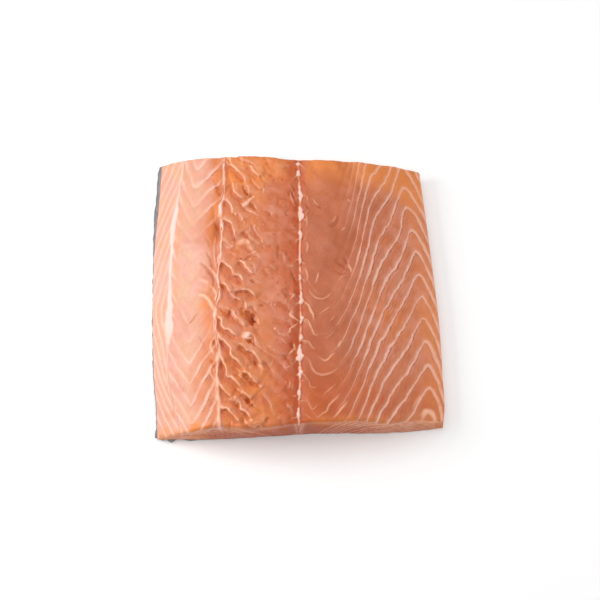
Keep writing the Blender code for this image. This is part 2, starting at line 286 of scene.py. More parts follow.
# Torn flakes: points of the lip, its height and how pale it is, the paleness being part fat and part painted
# highlight. The lip is on the left of the stroke.
flakeLips = (
    (((-37, 70.3), (-34, 67.5), (-31, 64), (-28.3, 60.5), (-27.4, 57)), 1.2, 0.8),
    (((-25.5, 68), (-23.7, 64.7), (-21.3, 62), (-19, 60)), 0.9, 1.0),
    (((-35, 59), (-34.3, 56), (-33.9, 53.4), (-31.8, 50.6), (-28.8, 48.2), (-27, 47)), 1.4, 0.9),
    (((-27.1, 56.6), (-25.9, 53.4), (-25.9, 50.2)), 0.7, 0.6),
    (((-40, 50), (-38, 48.7), (-36.5, 46.6), (-35, 43.7), (-33.6, 40.2)), 1.2, 0.8),
    (((-31, 39.8), (-29.9, 37.5), (-28.6, 35)), 0.6, 0.6),
    (((-40.5, 38), (-38.4, 36.8), (-35.4, 34.9), (-34.2, 31.6), (-33.1, 29.3), (-33.1, 27.6),
      (-31.4, 25.6), (-29.3, 24.5)), 1.3, 0.9),
    (((-25.8, 24.3), (-25.5, 21.2), (-23.7, 18.6), (-22.7, 17.2)), 0.8, 0.6),
    (((-40.5, 26), (-38.8, 24.7), (-36.8, 22.7), (-34.6, 21.2), (-31.9, 21)), 0.9, 0.55),
    (((-29.8, 12.8), (-27.7, 10.2), (-26.5, 8), (-24.2, 5.7), (-21.3, 3.9)), 1.2, 0.9),
    (((-41, 14), (-39.7, 12.4), (-37.1, 10.3), (-34.1, 7), (-33.6, 4.8), (-30.5, 3.7), (-28.5, 0.5),
      (-27.7, -2.6)), 1.7, 1.0),
    (((-32.5, -5), (-28.4, -4.7), (-25.5, -4.9), (-23.2, -6.8), (-20.6, -9.8)), 1.4, 1.0),
    (((-40, 1), (-37.8, -0.7), (-35.9, -4.4), (-33, -8), (-29.5, -10), (-27.4, -11.7)), 1.5, 0.9),
    (((-26.8, -10.7), (-26, -14.8)), 0.7, 0.7),
    (((-34.8, -15.3), (-33.6, -16.3), (-31.3, -20.1), (-28.9, -22), (-27.2, -23.9), (-25.2, -25.3)),
      1.2, 0.7),
    (((-41.7, -18.3), (-40, -19.7), (-39.6, -23), (-37.8, -25.2), (-35.5, -26), (-33.2, -28.3),
      (-31.7, -29.5), (-30.2, -31.4)), 1.5, 0.9),
    (((-41.6, -26.4), (-40.1, -30.1), (-38, -31.8), (-35.9, -34.6), (-34.4, -36.8), (-34.3, -38.8),
      (-33, -41.6), (-30.9, -43.1), (-28.6, -46.2), (-25.7, -49.8)), 1.7, 0.9),
    (((-29.6, -34.1), (-28.2, -35), (-25.9, -38.1), (-23, -39.1), (-21, -41.2), (-19.6, -43.4),
      (-18.1, -46), (-16.7, -48.1)), 1.4, 0.95),
    (((-40.1, -38.9), (-39, -41.5), (-38.1, -43.9), (-36.6, -47.5), (-35.6, -51.8), (-33.7, -52.5),
      (-31.3, -55), (-28.8, -57.7), (-27, -59.4)), 1.6, 0.9),
    (((-26.9, -60.6), (-25, -63.1), (-22.6, -65.3)), 1.2, 0.8),
    (((-27.4, -50), (-24.6, -50.7), (-22.9, -53), (-20.6, -55.2), (-18.3, -56.7)), 1.4, 0.95),
    (((-39.8, -55.3), (-39, -56.8), (-37.5, -59), (-35.2, -61.4), (-32.6, -63)), 1.3, 0.9),
    (((-32.3, -64.7), (-30, -65.4), (-28.6, -67.8), (-28.3, -69.8), (-26.6, -70.5), (-24.3, -72.6),
      (-22, -76)), 1.4, 0.9),
    (((-39.6, -67.5), (-38.2, -68.2), (-36.2, -68.5), (-33.6, -71), (-31.6, -73.1), (-29.9, -75.2),
      (-27.3, -77)), 1.3, 1.0),
    (((-16.1, -76.5), (-15.3, -74.9), (-14.2, -73.4)), 0.7, 0.6),
)

flakes = {
    "reach": 15,
    "ragged": ((0.3, 3.0, 31), (0.21, 1.5, 32)),
    "brightness": (1.05, 0.65),  # mean and change
    "ends": ((-0.06, 0.1), (1.0, 0.78)),  # where a lip swells and runs out along its stroke
    "relief": 1.35,
    "step": (-0.9, 0.5),
    "backSlope": 5.5,  # length of the slope behind the lip
    "frontSlope": 3.4,
    "lip": (0.3, 0.31),  # place and half-width
    # pale is the painted highlight behind the lip, shade the painted shade in the hollow in front
    "pale": (0.7, 2.6),  # strength and length
    "shade": (0.6, 1.3, 2.1),  # strength, largest height it grows with, length
    "covers": 5.0,
    "fromRidge": (0.2, 3.0),
}


def addFlakes(x, y, look, zone):
    # every flake steps up at its lip and slopes down to the next one, with painted highlight at and behind
    # the lip and painted shade in the hollow in front of it
    ragged = wobble(x, y, flakes["ragged"])
    bright = flakes["brightness"][0] + flakes["brightness"][1] * patches(x, y, 3.0, 38)
    lipPlace, lipHalf = flakes["lip"]
    paleness, paleLength = flakes["pale"]
    shade, mostRise, shadeLength = flakes["shade"]
    starts, ends = flakes["ends"]
    taken = np.zeros_like(x)
    height = np.zeros_like(x)
    for points, rise, pale in flakeLips:
        near, away, along = fromStroke(x, y, points, flakes["reach"])
        away = away + ragged[near]
        taper = fade(along, *starts) * fade(along, *ends)
        step = fade(away, *flakes["step"])
        lip = rise * np.exp(-np.clip(away, 0, None) / flakes["backSlope"])
        hollow = rise * np.exp(np.clip(away, None, 0) / flakes["frontSlope"])
        height[near] += flakes["relief"] * taper * (lip * step - hollow * (1 - step))
        raiseTo(look["fatAndHighlight"], near, pale * taper * bright[near] * hill(away - lipPlace, lipHalf))
        # painted highlight behind the lip and painted shade in front of it
        raiseTo(look["pale"], near, paleness * taper * step * np.exp(-away / paleLength))
        shadow = shade * taper * min(rise, mostRise) * (1 - step) * np.exp(away / shadeLength)
        raiseTo(look["shadeAndDeepRed"], near, shadow)
        raiseTo(taken, near, taper * np.exp(-np.abs(away) / flakes["covers"]))
    look["height"] += height * fade(zone["fromRidge"], *flakes["fromRidge"])
    return taken


tornLobes = {
    "warp": ((4.6, 9.0, 33), (2.2, 4.4, 34), (0.6, 1.9, 35)),
    "warpPitch": 8.0,
    "brightness": (0.7, 0.5),
    "free": (0.8, 0.25),  # how much of a large flake keeps them away
    # pitch, lean, height, paleness, zone and seed of the two sets
    "sets": ((6.4, 1.0, 1.2, 0.75, "rough", 36), (7.0, 0.8, 1.0, 0.6, "smooth", 43)),
    "lip": (0.3, 0.34),
}


def addTorn(x, y, look, zone, taken):
    # smaller lobes where no large flake lies, each one with a pale lip that is part fat and part painted
    # highlight, a painted highlight behind it, and painted shade where it sinks towards the next
    warp = wobble(x, y, tornLobes["warp"]) / tornLobes["warpPitch"]
    bright = tornLobes["brightness"][0] + tornLobes["brightness"][1] * patches(x, y, 2.8, 40)
    lipPlace, lipHalf = tornLobes["lip"]
    free = fade(taken, *tornLobes["free"])
    for pitch, lean, rise, pale, name, seed in tornLobes["sets"]:
        phase = (y + lean * x + warp * pitch) / (pitch * math.hypot(1, lean))
        part = phase - np.floor(phase)
        broken = zone[name] * free * fade(patches(x, y, 7.0, seed), -0.3, 0.3)
        look["height"] += rise * broken * (fade(part, 0, 0.09) * (1 - part) - 0.4)
        look["pale"] += 0.3 * broken * fade(part, 0.0, 0.1) * fade(part, 0.6, 0.1)
        lip = pale * bright * broken * hill(part * pitch - lipPlace, lipHalf)
        np.maximum(look["fatAndHighlight"], lip, out=look["fatAndHighlight"])
        np.maximum(look["shadeAndDeepRed"], 0.5 * rise * broken * fade(part, 0.5, 1.0), out=look["shadeAndDeepRed"])


# Pits between the flakes: x, y, half-width, half-length, depth
pits = (
    (-37.0, -16.2, 3.2, 2.9, 1.7), (-24.9, -19.0, 3.3, 3.3, 3.0), (-24.0, -33.2, 2.4, 1.5, 2.0),
    (-20.7, -45.2, 1.1, 1.1, 2.0), (-22.6, -55.6, 3.2, 1.0, 1.6), (-24.1, -66.1, 1.9, 1.8, 1.9),
    (-30.1, -67.2, 1.6, 1.0, 0.9), (-1.6, -35.8, 1.1, 1.9, 2.1), (-24.0, 44.7, 1.6, 1.6, 1.4),
    (-27.6, 53.2, 1.1, 2.2, 1.6), (-27.4, 27.4, 1.7, 1.2, 1.2), (-23.5, 0.9, 1.7, 0.7, 1.2),
    (-16.2, 8.7, 1.8, 0.5, 0.7), (-18.4, -12.9, 1.1, 0.7, 0.9), (-1.6, 50.4, 0.6, 2.6, 1.2),
    (-42.4, 33.5, 1.0, 3.6, 1.3), (-42.9, -33.0, 0.7, 3.2, 1.2), (-43.6, -43.5, 1.0, 2.0, 1.1),
    (-42.6, 55.0, 1.3, 6.0, 0.9), (-29.6, 45.1, 1.0, 0.8, 0.9), (29.2, 8.4, 1.0, 0.8, 0.7),
    (3.4, -33.2, 0.9, 0.8, 0.9), (5.0, 58.0, 0.7, 1.6, 0.8), (-10.6, -39.8, 1.4, 0.4, 0.5),
    (-30.5, 14.6, 1.8, 0.9, 0.8), (-31.5, -51.0, 1.5, 1.0, 0.7), (-24.8, 50.4, 1.3, 0.8, 0.9),
    (-18.0, 20.8, 0.6, 1.6, 0.8), (-9.9, 37.9, 0.6, 0.6, 0.6), (-1.2, 3.8, 0.7, 3.5, 1.2),
    (-25.0, 17.7, 1.8, 0.5, 0.9), (-28.8, 13.4, 0.6, 0.5, 0.8), (-26.0, 12.6, 0.8, 0.8, 0.8),
    (-31.6, -17.0, 0.5, 0.5, 0.7), (-20.2, -28.2, 0.7, 2.0, 0.6), (-25.0, -27.4, 0.5, 0.4, 0.6),
    (-26.8, -52.0, 2.4, 1.0, 0.8), (-3.4, 51.3, 0.4, 1.4, 0.8), (-1.2, 55.4, 0.7, 1.8, 0.8),
    (-23.9, -33.0, 2.0, 0.9, 1.3), (-25.1, -65.0, 1.6, 1.2, 1.1), (5.6, 45.0, 1.2, 1.6, 0.8),
    (12.4, 43.9, 1.6, 0.8, 0.7),
)

pitShape = {
    "ragged": ((0.42, 1.9, 41), (0.22, 0.9, 42)),
    "slant": (0.35, 0.45),  # how far a pit leans across and along
    "bowl": (1.15, 0.8),
    "steeper": (0.6, 0.4),  # the right side is the deeper one
    "flap": (1.25, 0.25, 0.8),  # place across, half-width and half-length of the pale flap at the right
}


def addPits(x, y, look):
    ragged = wobble(x, y, pitShape["ragged"])
    slantX, slantY = pitShape["slant"]
    bowlSize, bowlPower = pitShape["bowl"]
    evenly, steeper = pitShape["steeper"]
    flapPlace, flapWidth, flapLength = pitShape["flap"]
    for pitX, pitY, halfWidth, halfLength, depth in pits:
        across = ((x - pitX) + slantX * (y - pitY)) / halfWidth
        along = ((y - pitY) + slantY * (x - pitX)) / halfLength
        spread = np.hypot(across, along) + ragged
        bowl = np.clip(bowlSize - spread**2, 0, 1) ** bowlPower
        lean = evenly + steeper * np.clip(across, -1, 1)
        look["height"] -= depth * bowl * lean
        # painted shade down in the pit, mixed with its deeper red
        raiseTo(look["shadeAndDeepRed"], bowl > 0, np.clip(bowl * lean * (0.5 + 0.4 * depth), 0, 0.9)[bowl > 0])
        look["amber"] += 0.8 * fade(bowl * (0.6 - 0.5 * across), 0.2, 0.8) * min(depth / 1.6, 1.0)
        # the darkest painted shade, on the pit's steep right side
        look["darkShade"] += fade(bowl * (0.35 + 0.65 * across), 0.3, 1.0) * min(max(depth - 1.2, 0) / 1.2, 1.2)
        look["red"] += fade(bowl * (0.4 + 0.6 * across), 0.1, 0.6) * min(depth / 1.5, 1.0)
        flap = hill(across - flapPlace, flapWidth) * hill(along, flapLength) * min(0.4 * depth, 0.7)
        np.maximum(look["fatAndHighlight"], flap, out=look["fatAndHighlight"])


# Pale strands of connective tissue: points, half-width, height, how pale
strands = (
    (((-48.4, 12.5), (-44.6, 8.5), (-42.2, 2.5)), 0.5, 0.3, 0.7),
    (((-66.5, 24.6), (-61.9, 26.0), (-56.7, 26.3), (-50.5, 23.6)), 0.9, 0.2, 0.3),
    (((-46.6, 1.4), (-43.6, -2.3), (-42.0, -7.4)), 0.5, 0.35, 0.8),
    (((-53.5, -3.6), (-49.0, -5.0), (-46.0, -8.7), (-43.2, -15.0)), 0.8, 0.45, 0.9),
    (((-53.0, 5.4), (-49.4, 3.6), (-46.4, 1.6)), 0.9, 0.3, 0.6),
    (((-63.0, -9.0), (-60.0, -15.0), (-56.5, -22.0)), 0.7, 0.15, 0.5),
    (((-42.6, -28.0), (-45.0, -33.5), (-42.6, -39.5)), 0.5, 0.5, 0.8),
    (((-42.2, -41.0), (-45.2, -47.2), (-42.0, -53.5)), 0.5, 0.45, 0.7),
    (((-41.2, 60.0), (-43.8, 48.0), (-43.2, 40.0), (-40.6, 33.0)), 0.4, 0.1, 0.2),
    (((-43.6, 30.0), (-44.2, 20.0), (-42.6, 8.0)), 0.45, 0.35, 0.7),
    (((12.7, 6.1), (11.8, 2.6), (10.8, -0.8)), 0.35, 0.12, 0.8),
    (((5.4, 40.0), (6.4, 36.0), (6.2, 31.0)), 0.4, 0.15, 0.6),
    (((5.0, 9.0), (6.6, 4.0), (6.4, 0.0)), 0.4, 0.15, 0.7),
    (((-29.6, 73.5), (-29.5, 70.5), (-28.9, 68.0)), 0.9, 0.3, 0.5),
    (((-28.6, 43.6), (-27.5, 45.3), (-25.9, 46.9)), 1.2, 0.3, 0.9),
    (((-26.4, 46.4), (-24.3, 48.6), (-22.1, 50.2)), 0.6, 0.3, 0.8),
    (((-28.0, 43.0), (-25.3, 41.6), (-22.5, 40.2), (-19.8, 38.3)), 0.5, 0.25, 0.7),
    (((-35.3, 45.3), (-34.7, 42.9), (-34.1, 39.9)), 0.7, 0.25, 0.6),
    (((-18.3, 56.5), (-17.2, 54.1), (-18.2, 51.2)), 0.35, 0.25, 0.7),
    (((-10.6, 59.2), (-10.6, 58.0)), 0.5, 0.2, 0.6),
    (((-2.9, 52.5), (-2.3, 49.5), (-2.3, 46.6)), 0.35, 0.25, 0.55),
    (((-5.0, 39.6), (-3.4, 39.6)), 0.35, 0.2, 0.6),
    (((-29.1, 37.8), (-28.0, 35.3), (-27.4, 32.4)), 0.4, 0.25, 0.5),
    (((-24.6, 32.8), (-24.6, 30.4), (-25.1, 28.2)), 0.4, 0.3, 0.6),
    (((-32.7, 22.3), (-30.0, 23.3), (-26.2, 23.6), (-25.0, 21.2)), 1.6, 0.15, 0.6),
    (((-26.1, 21.3), (-23.9, 18.8)), 0.4, 0.2, 0.5),
    (((-39.4, 24.7), (-37.7, 22.2), (-35.4, 20.8), (-32.1, 21.1)), 0.5, 0.3, 0.5),
    (((-23.3, 15.9), (-22.3, 17.0), (-20.6, 17.5)), 0.35, 0.3, 0.8),
    (((-24.4, 13.7), (-23.9, 12.5)), 0.5, 0.3, 0.8),
    (((-29.3, 12.8), (-28.2, 11.1)), 0.5, 0.2, 0.6),
    (((-21.6, 1.0), (-19.9, 0.3), (-18.3, -0.3)), 0.35, 0.2, 0.6),
    (((-22.4, 32.1), (-21.3, 33.2)), 0.4, 0.3, 0.6),
    (((-20.2, 31.4), (-19.1, 30.1)), 0.35, 0.3, 0.6),
    (((-18.1, 33.0), (-17.0, 33.5)), 0.35, 0.3, 0.5),
    (((-18.5, 25.5), (-18.0, 23.7), (-16.9, 21.9)), 0.45, 0.3, 0.55),
    (((-12.0, 20.0), (-12.0, 18.9)), 0.35, 0.2, 0.5),
    (((-11.4, 4.6), (-8.1, 3.4), (-5.4, 1.6)), 0.4, 0.2, 0.3),
    (((-34.3, -15.7), (-33.2, -16.9), (-32.1, -18.7)), 0.7, 0.4, 0.8),
    (((-26.8, -13.4), (-25.7, -15.7)), 0.35, 0.3, 0.7),
    (((-22.4, -18.7), (-21.3, -19.8), (-20.8, -21.5)), 0.7, 0.3, 0.7),
    (((-31.5, -20.4), (-29.4, -21.6), (-27.7, -23.9), (-26.1, -25.7)), 0.45, 0.4, 0.6),
    (((-27.6, -31.2), (-26.6, -29.6), (-24.5, -28.0)), 1.3, 0.4, 1.0),
    (((-27.6, -31.2), (-25.0, -31.3), (-22.3, -30.9)), 0.35, 0.4, 1.0),
    (((-21.2, -31.5), (-20.7, -33.7)), 0.6, 0.3, 0.7),
    (((-18.8, -11.5), (-17.7, -12.1)), 0.3, 0.2, 0.6),
    (((-17.7, -13.3), (-17.7, -14.4)), 0.35, 0.2, 0.8),
    (((-13.9, -10.0), (-14.5, -11.7), (-15.0, -12.8)), 0.35, 0.2, 0.5),
    (((-11.3, -11.8), (-10.7, -13.5)), 0.3, 0.2, 0.8),
    (((-10.7, -25.2), (-10.6, -26.8)), 0.6, 0.2, 0.8),
    (((-5.4, -10.2), (-4.9, -11.4)), 0.3, 0.2, 0.7),
    (((0.5, -6.3), (-1.1, -8.0), (-2.7, -9.7)), 0.45, 0.3, 0.6),
    (((-3.2, -18.6), (-2.2, -16.4), (-1.1, -18.6), (0.5, -19.8)), 0.45, 0.3, 0.5),
    (((-11.2, -19.0), (-8.0, -20.2), (-4.8, -20.8)), 0.35, 0.2, 0.3),
    (((-4.3, -29.7), (-2.7, -26.4), (-0.6, -23.7)), 0.4, 0.3, 0.5),
    (((-8.0, -31.3), (-5.9, -33.0), (-3.7, -35.2)), 0.4, 0.3, 0.5),
    (((-0.6, -34.1), (-0.1, -36.3)), 0.4, 0.3, 0.8),
    (((-13.8, -35.0), (-13.2, -36.7)), 0.4, 0.2, 0.6),
    (((-12.2, -37.3), (-10.1, -38.4)), 0.35, 0.2, 0.4),
    (((-19.5, -44.1), (-17.9, -46.9), (-16.8, -49.1)), 0.9, 0.4, 0.6),
    (((-24.2, -48.3), (-23.2, -46.7), (-21.6, -46.2)), 0.6, 0.3, 0.5),
    (((-22.6, -53.8), (-21.0, -54.9), (-19.9, -56.1)), 0.3, 0.3, 0.9),
    (((-18.3, -57.2), (-17.3, -58.3)), 1.0, 0.4, 0.6),
    (((-32.0, -62.0), (-30.9, -63.7)), 0.6, 0.3, 0.7),
    (((-31.4, -65.3), (-29.8, -65.9)), 0.5, 0.3, 0.7),
    (((-28.3, -61.6), (-27.2, -60.1), (-26.7, -59.0)), 0.4, 0.3, 0.7),
    (((-22.9, -76.3), (-22.3, -74.7)), 0.7, 0.3, 0.8),
    (((-21.8, -76.9), (-19.7, -76.9)), 0.5, 0.2, 0.4),
    (((-5.3, -47.2), (-3.7, -47.2), (-2.1, -46.1)), 0.3, 0.2, 0.6),
    (((-2.6, -53.2), (-2.6, -55.9), (-3.7, -58.6)), 0.3, 0.2, 0.6),
    (((-5.2, -54.2), (-4.7, -55.9)), 0.3, 0.2, 0.7),
    (((-13.2, -47.6), (-12.1, -44.4), (-11.1, -42.7)), 0.4, 0.2, 0.5),
    (((-1.0, -62.9), (1.0, -62.3)), 0.35, 0.3, 0.7),
    (((-17.9, -51.3), (-17.9, -49.6), (-16.8, -48.6)), 0.3, 0.2, 0.7),
    (((-28.2, -65.4), (-28.7, -68.1), (-27.6, -69.7)), 0.35, 0.3, 0.6),
    (((-13.1, -35.4), (-11.4, -36.6), (-9.4, -38.1), (-6.3, -42.6)), 0.35, 0.3, 0.3),
    (((-10.1, -18.2), (-5.8, -20.1), (-4.9, -22.8)), 0.35, 0.25, 0.25),
    (((2.3, -21.2), (-0.3, -20.4), (-2.6, -18.0), (-1.5, -15.9)), 0.5, 0.4, 0.9),
    (((1.8, -22.5), (-1.0, -24.9), (-2.5, -26.2), (-2.8, -28.1), (-4.1, -29.4)), 0.4, 0.35, 0.8),
    (((0.3, -35.0), (-1.8, -38.3), (-3.5, -40.4)), 0.45, 0.35, 0.8),
    (((4.3, -10.9), (6.6, -12.5), (7.9, -14.6), (8.4, -16.2), (9.7, -18.8), (9.9, -22.6)), 0.4, 0.3, 0.9),
    (((0.6, 43.6), (-1.2, 46.0), (-2.3, 50.1)), 0.35, 0.3, 0.6),
    (((7.4, -2.8), (8.5, -6.2), (11.1, -8.9), (14.3, -9.4), (17.6, -7.6), (20.3, -4.7)), 0.45, 0.2, 0.6),
    (((4.2, -10.1), (6.3, -11.8), (7.9, -14.6), (9.5, -17.9), (10.0, -21.8)), 0.5, 0.3, 0.85),
    (((4.2, -20.2), (6.8, -21.3), (8.4, -25.1), (10.5, -29.0), (13.2, -30.0)), 0.45, 0.25, 0.75),
    (((12.7, -17.8), (15.9, -15.5), (19.1, -13.2)), 0.4, 0.15, 0.5),
    (((18.0, -22.2), (19.6, -20.4), (21.2, -18.2)), 0.4, 0.15, 0.5),
    (((4.7, -31.8), (6.8, -32.9), (8.9, -35.6), (11.0, -37.2)), 0.45, 0.25, 0.7),
    (((12.1, -41.0), (14.2, -42.6), (15.8, -43.7), (17.3, -42.6), (19.5, -40.3), (21.6, -38.6)),
      0.5, 0.2, 0.65),
    (((22.7, -36.4), (23.8, -33.6), (24.8, -31.9)), 0.5, 0.2, 0.75),
    (((14.2, -31.1), (16.9, -30.5), (19.6, -28.2), (21.2, -25.9)), 0.35, 0.15, 0.4),
    (((3.7, -41.7), (6.3, -42.2), (7.9, -44.4), (8.9, -47.6), (11.0, -49.8), (14.1, -51.3), (17.3, -50.7),
      (20.5, -49.0), (23.7, -46.2)), 0.6, 0.25, 0.55),
    (((4.7, -50.9), (6.8, -53.6), (8.4, -57.4), (9.9, -57.9), (12.0, -56.8)), 0.4, 0.2, 0.55),
    (((13.6, -63.7), (16.2, -60.5), (19.3, -57.7), (22.5, -54.4)), 0.4, 0.15, 0.5),
    (((4.2, -62.2), (6.8, -65.4), (9.4, -69.7), (11.5, -67.5), (13.0, -65.9)), 0.4, 0.2, 0.5),
    (((10.9, -74.4), (14.0, -72.3), (16.6, -70.1), (18.2, -66.8), (20.9, -64.1), (24.6, -60.8)),
      0.5, 0.2, 0.65),
    (((19.7, -74.8), (21.9, -72.1), (24.5, -68.8), (27.7, -64.9)), 0.55, 0.2, 0.7),
    (((4.2, -71.3), (6.8, -73.4), (8.8, -75.5)), 0.4, 0.2, 0.5),
    (((67.2, -71.4), (68.0, -68.8), (69.7, -66.9), (72.0, -67.3), (73.7, -69.2), (75.1, -71.7)),
      1.1, 0.3, 0.9),
    (((61.4, -67.8), (64.2, -63.1), (67.2, -58.8), (69.5, -56.3)), 0.9, 0.2, 0.5),
    (((29.5, 49.5), (28.4, 47.6)), 0.3, 0.15, 0.5),
    (((26.0, 31.7), (24.9, 29.9)), 0.3, 0.15, 0.5),
    (((9.2, 64.6), (10.8, 61.1), (11.9, 58.1)), 0.5, 0.2, 0.35),
    (((28.0, 12.1), (29.0, 9.3), (30.1, 7.1)), 0.3, 0.2, 0.6),
    (((23.0, 1.6), (26.3, 4.0), (29.5, 5.4)), 0.35, 0.2, 0.45),
    (((4.2, 52.1), (6.4, 49.1), (7.5, 45.0)), 0.35, 0.2, 0.5),
    (((4.8, 38.6), (6.4, 40.9), (7.0, 42.7)), 0.35, 0.2, 0.45),
    (((6.4, 30.4), (5.9, 26.9), (4.8, 22.9)), 0.35, 0.2, 0.4),
    (((28.0, 11.6), (29.6, 8.5), (30.6, 6.0)), 0.5, 0.3, 0.8),
    (((22.8, 39.1), (21.1, 36.1), (19.5, 34.2)), 0.5, 0.3, 0.5),
    (((28.7, 48.8), (29.8, 48.0), (30.6, 46.9)), 0.4, 0.3, 0.7),
    (((25.5, 30.5), (26.6, 31.7), (27.4, 32.3)), 0.4, 0.3, 0.6),
    (((9.7, 48.6), (11.3, 45.7), (13.5, 44.0)), 0.45, 0.3, 0.6),
    (((5.8, 23.5), (6.7, 20.6), (6.1, 16.6)), 0.5, 0.3, 0.6),
)

# Whitish flaps of connective tissue: x, y, half-length, half-width, how white
flaps = (
    (-25.6, 46.3, 4.6, 1.2, 0.65),
    (-25.2, -29.6, 2.8, 1.4, 1.0),
    (-32.9, -16.9, 2.2, 0.9, 0.6),
    (-21.6, -19.8, 1.8, 0.8, 0.6),
    (-28.4, 24.6, 2.6, 1.0, 0.4),
    (-17.3, -57.2, 1.6, 1.3, 0.4),
    (-23.4, -47.8, 2.4, 1.2, 0.35),
    (-30.8, 4.4, 2.2, 0.8, 0.35),
    (-39.6, 70.3, 1.6, 1.6, 0.5),
)

# Creases: points, half-width, depth
creases = (
    (((-52.0, 14.8), (-49.2, 12.0), (-47.0, 8.8), (-44.2, 4.4), (-44.4, -1.3)), 0.5, 0.8),
    (((-48.6, 21.0), (-46.4, 15.5), (-44.6, 9.5)), 0.4, 0.5),
    (((-58.8, -20.5), (-55.4, -17.6), (-52.8, -14.0)), 0.35, 0.25),
    (((-29.5, 11.0), (-26.0, 14.0), (-21.5, 17.0)), 0.6, 0.6),
    (((24.0, 38.3), (22.4, 34.2), (20.2, 32.4), (18.6, 33.4)), 0.6, 0.9),
    (((25.9, 16.0), (28.0, 11.6), (30.6, 6.6)), 0.6, 1.0),
    (((21.5, 12.9), (25.8, 9.7), (30.1, 6.6)), 0.7, 1.0),
    (((20.4, 7.8), (24.7, 5.1), (28.5, 5.3)), 0.5, 0.35),
    (((-16.0, 57.0), (-18.0, 54.0), (-18.6, 51.0)), 0.5, 0.4),
    (((-52.0, -27.0), (-49.4, -31.0), (-48.2, -35.0)), 0.35, 0.25),
    (((-50.0, 30.0), (-47.5, 26.0), (-46.6, 22.0)), 0.35, 0.25),
)

diagonal = 0.7071
markReach = 5


def markShape(x, y, points, ragged, seed, halfWidth):
    # a thin mark along a stroke, strongest in its middle
    near, away, along = fromStroke(x, y, points, markReach)
    taper = np.sin(math.pi * np.clip(along, 0, 1)) ** 0.5
    return near, away, taper, taper * hill(away + ragged * patches(x[near], y[near], 1.6, seed), halfWidth)


def addStrands(x, y, look):
    for points, halfWidth, rise, pale in strands:
        near, away, taper, shape = markShape(x, y, points, 0.2, 51, halfWidth * 1.2)
        look["height"][near] += rise * shape
        raiseTo(look["fatAndHighlight"], near, pale * shape)
        # painted shadow beside each strand
        beside = hill(np.abs(away) - 2.4 * halfWidth, 1.1 * halfWidth)
        raiseTo(look["shadeAndDeepRed"], near, 0.3 * pale * taper * beside)
    for flapX, flapY, halfLength, halfWidth, white in flaps:
        along = ((x - flapX) + (y - flapY)) * diagonal / halfLength
        across = ((x - flapX) - (y - flapY)) * diagonal / halfWidth
        shape = hill(np.hypot(along, across) + 0.3 * patches(x, y, 1.3, 53), 0.9)
        look["height"] += 0.5 * white * shape
        look["membrane"] += white * shape
    for points, halfWidth, depth in creases:
        near, _, _, shape = markShape(x, y, points, 0.3, 52, halfWidth)
        look["height"][near] -= depth * shape
        # painted shade in the crease
        raiseTo(look["shadeAndDeepRed"], near, 0.8 * shape)


# Soft tones that go with a line: mask, strength, zone, line, offset from it, half-width, then "fade" and the
# y from and to which the tone grows, or "hill" and its y and half-length
lineTones = (
    ("amber", 0.75, "mottledBack", "ridge", -3.2, 2.6, "fade", 22, 34),
    ("amber", 0.525, "mottledBack", "ridge", -3.2, 2.6, "fade", -8, -22),
    ("amber", 1.0, "mottledBack", "ridge", -5.5, 4.0, "hill", -9, 10.0),
    ("amber", 0.85, "mottledBack", "ridge", -5.5, 5.5, "fade", -26, -40),
    # the darker rows along the ridge's left side are painted shade of the crevice there
    ("shadeAndDeepRed", 0.4, "mottledBack", "ridge", -5.0, 4.5, "fade", -24, -44),
    ("amber", 0.6, "mottledBack", "ridge", -2.9, 1.6, "fade", -26, -40),
    ("shadeAndDeepRed", 0.4, "mottled", "ridge", -3.4, 1.9, "fade", -28, -42),
    ("amber", 1.0, "all", "ridge", -4.4, 3.6, "hill", 33, 9.5),  # a sunk, amber lens left of the ridge
    # the rows that darken the lens are painted shadow in it
    ("shadeAndDeepRed", 0.35, "all", "ridge", -4.4, 3.6, "hill", 33, 9.5),
    ("pale", -0.5, "all", "ridge", -4.4, 3.6, "hill", 33, 9.5),
    ("height", -0.4, "all", "ridge", -4.4, 3.6, "hill", 33, 9.5),
    ("shadeAndDeepRed", 0.6, "all", "ridge", -2.8, 2.2, "hill", 33, 8.0),
    ("darkShade", 0.3, "all", "ridge", -2.4, 1.5, "hill", 31, 6.5),
    ("shadeAndDeepRed", 0.45, "beforeFarCut", "ridge", -1.8, 1.2, "fade", 46, 56),
    # painted shadow just right of the seam
    ("amber", 0.3, "mottled", "seam", 3.0, 1.4, "hill", 14, 40),
)
grooveTones = (
    ("red", 0.6, "clear", "middle", -3.0, 3.6, "fade", -40, -64),
    ("amber", 0.12, "clear", "middle", 4.0, 17.0, "fade", -50, -74),
    ("red", 0.4, "clear", "middle", -5.0, 6.0, "fade", 10, -45),
    ("red", 0.35, "clear", "middle", 7.0, 8.0, "fade", 10, -45),
    ("shadeAndDeepRed", 0.3, "all", "middle", 11.0, 9.0, "fade", -50, -74),
    ("rust", 0.5, "all", "middle", 9.0, 12.0, "fade", -40, -66),
)

# Tones of whole zones: mask, strength, zone, the y from and to which they grow, and how far that edge wanders
zoneTones = (
    ("warm", 0.8, "rough", 36, 66, 6),
    ("warm", 0.8, "smooth", 56, 68, 5),
    ("warm", 0.3, "belly", -20, -60, 0),
    ("amber", 0.35, "smooth", 62, 71, 4),
    ("amber", 0.35, "belly", 62, 71, 4),
    ("rust", 0.75, "rough", -30, -76, 5),
    ("rust", 1.0, "smooth", -30, -76, 5),
    ("rust", 1.0, "innerBelly", -30, -76, 5),
    ("shadeAndDeepRed", 0.4, "flank", -20, -60, 0),
    ("amber", 0.36, "mottledRough", -24, -56, 0),
    ("amber", 0.4, "nearWalls", -70, -77, 0),
)


def addLineTones(rows, y, look, zone, away):
    for mask, strength, name, line, offset, halfWidth, kind, first, second in rows:
        along = fade(y, first, second) if kind == "fade" else hill(y - first, second)
        look[mask] += strength * zone[name] * hill(away[line] - offset, halfWidth) * along


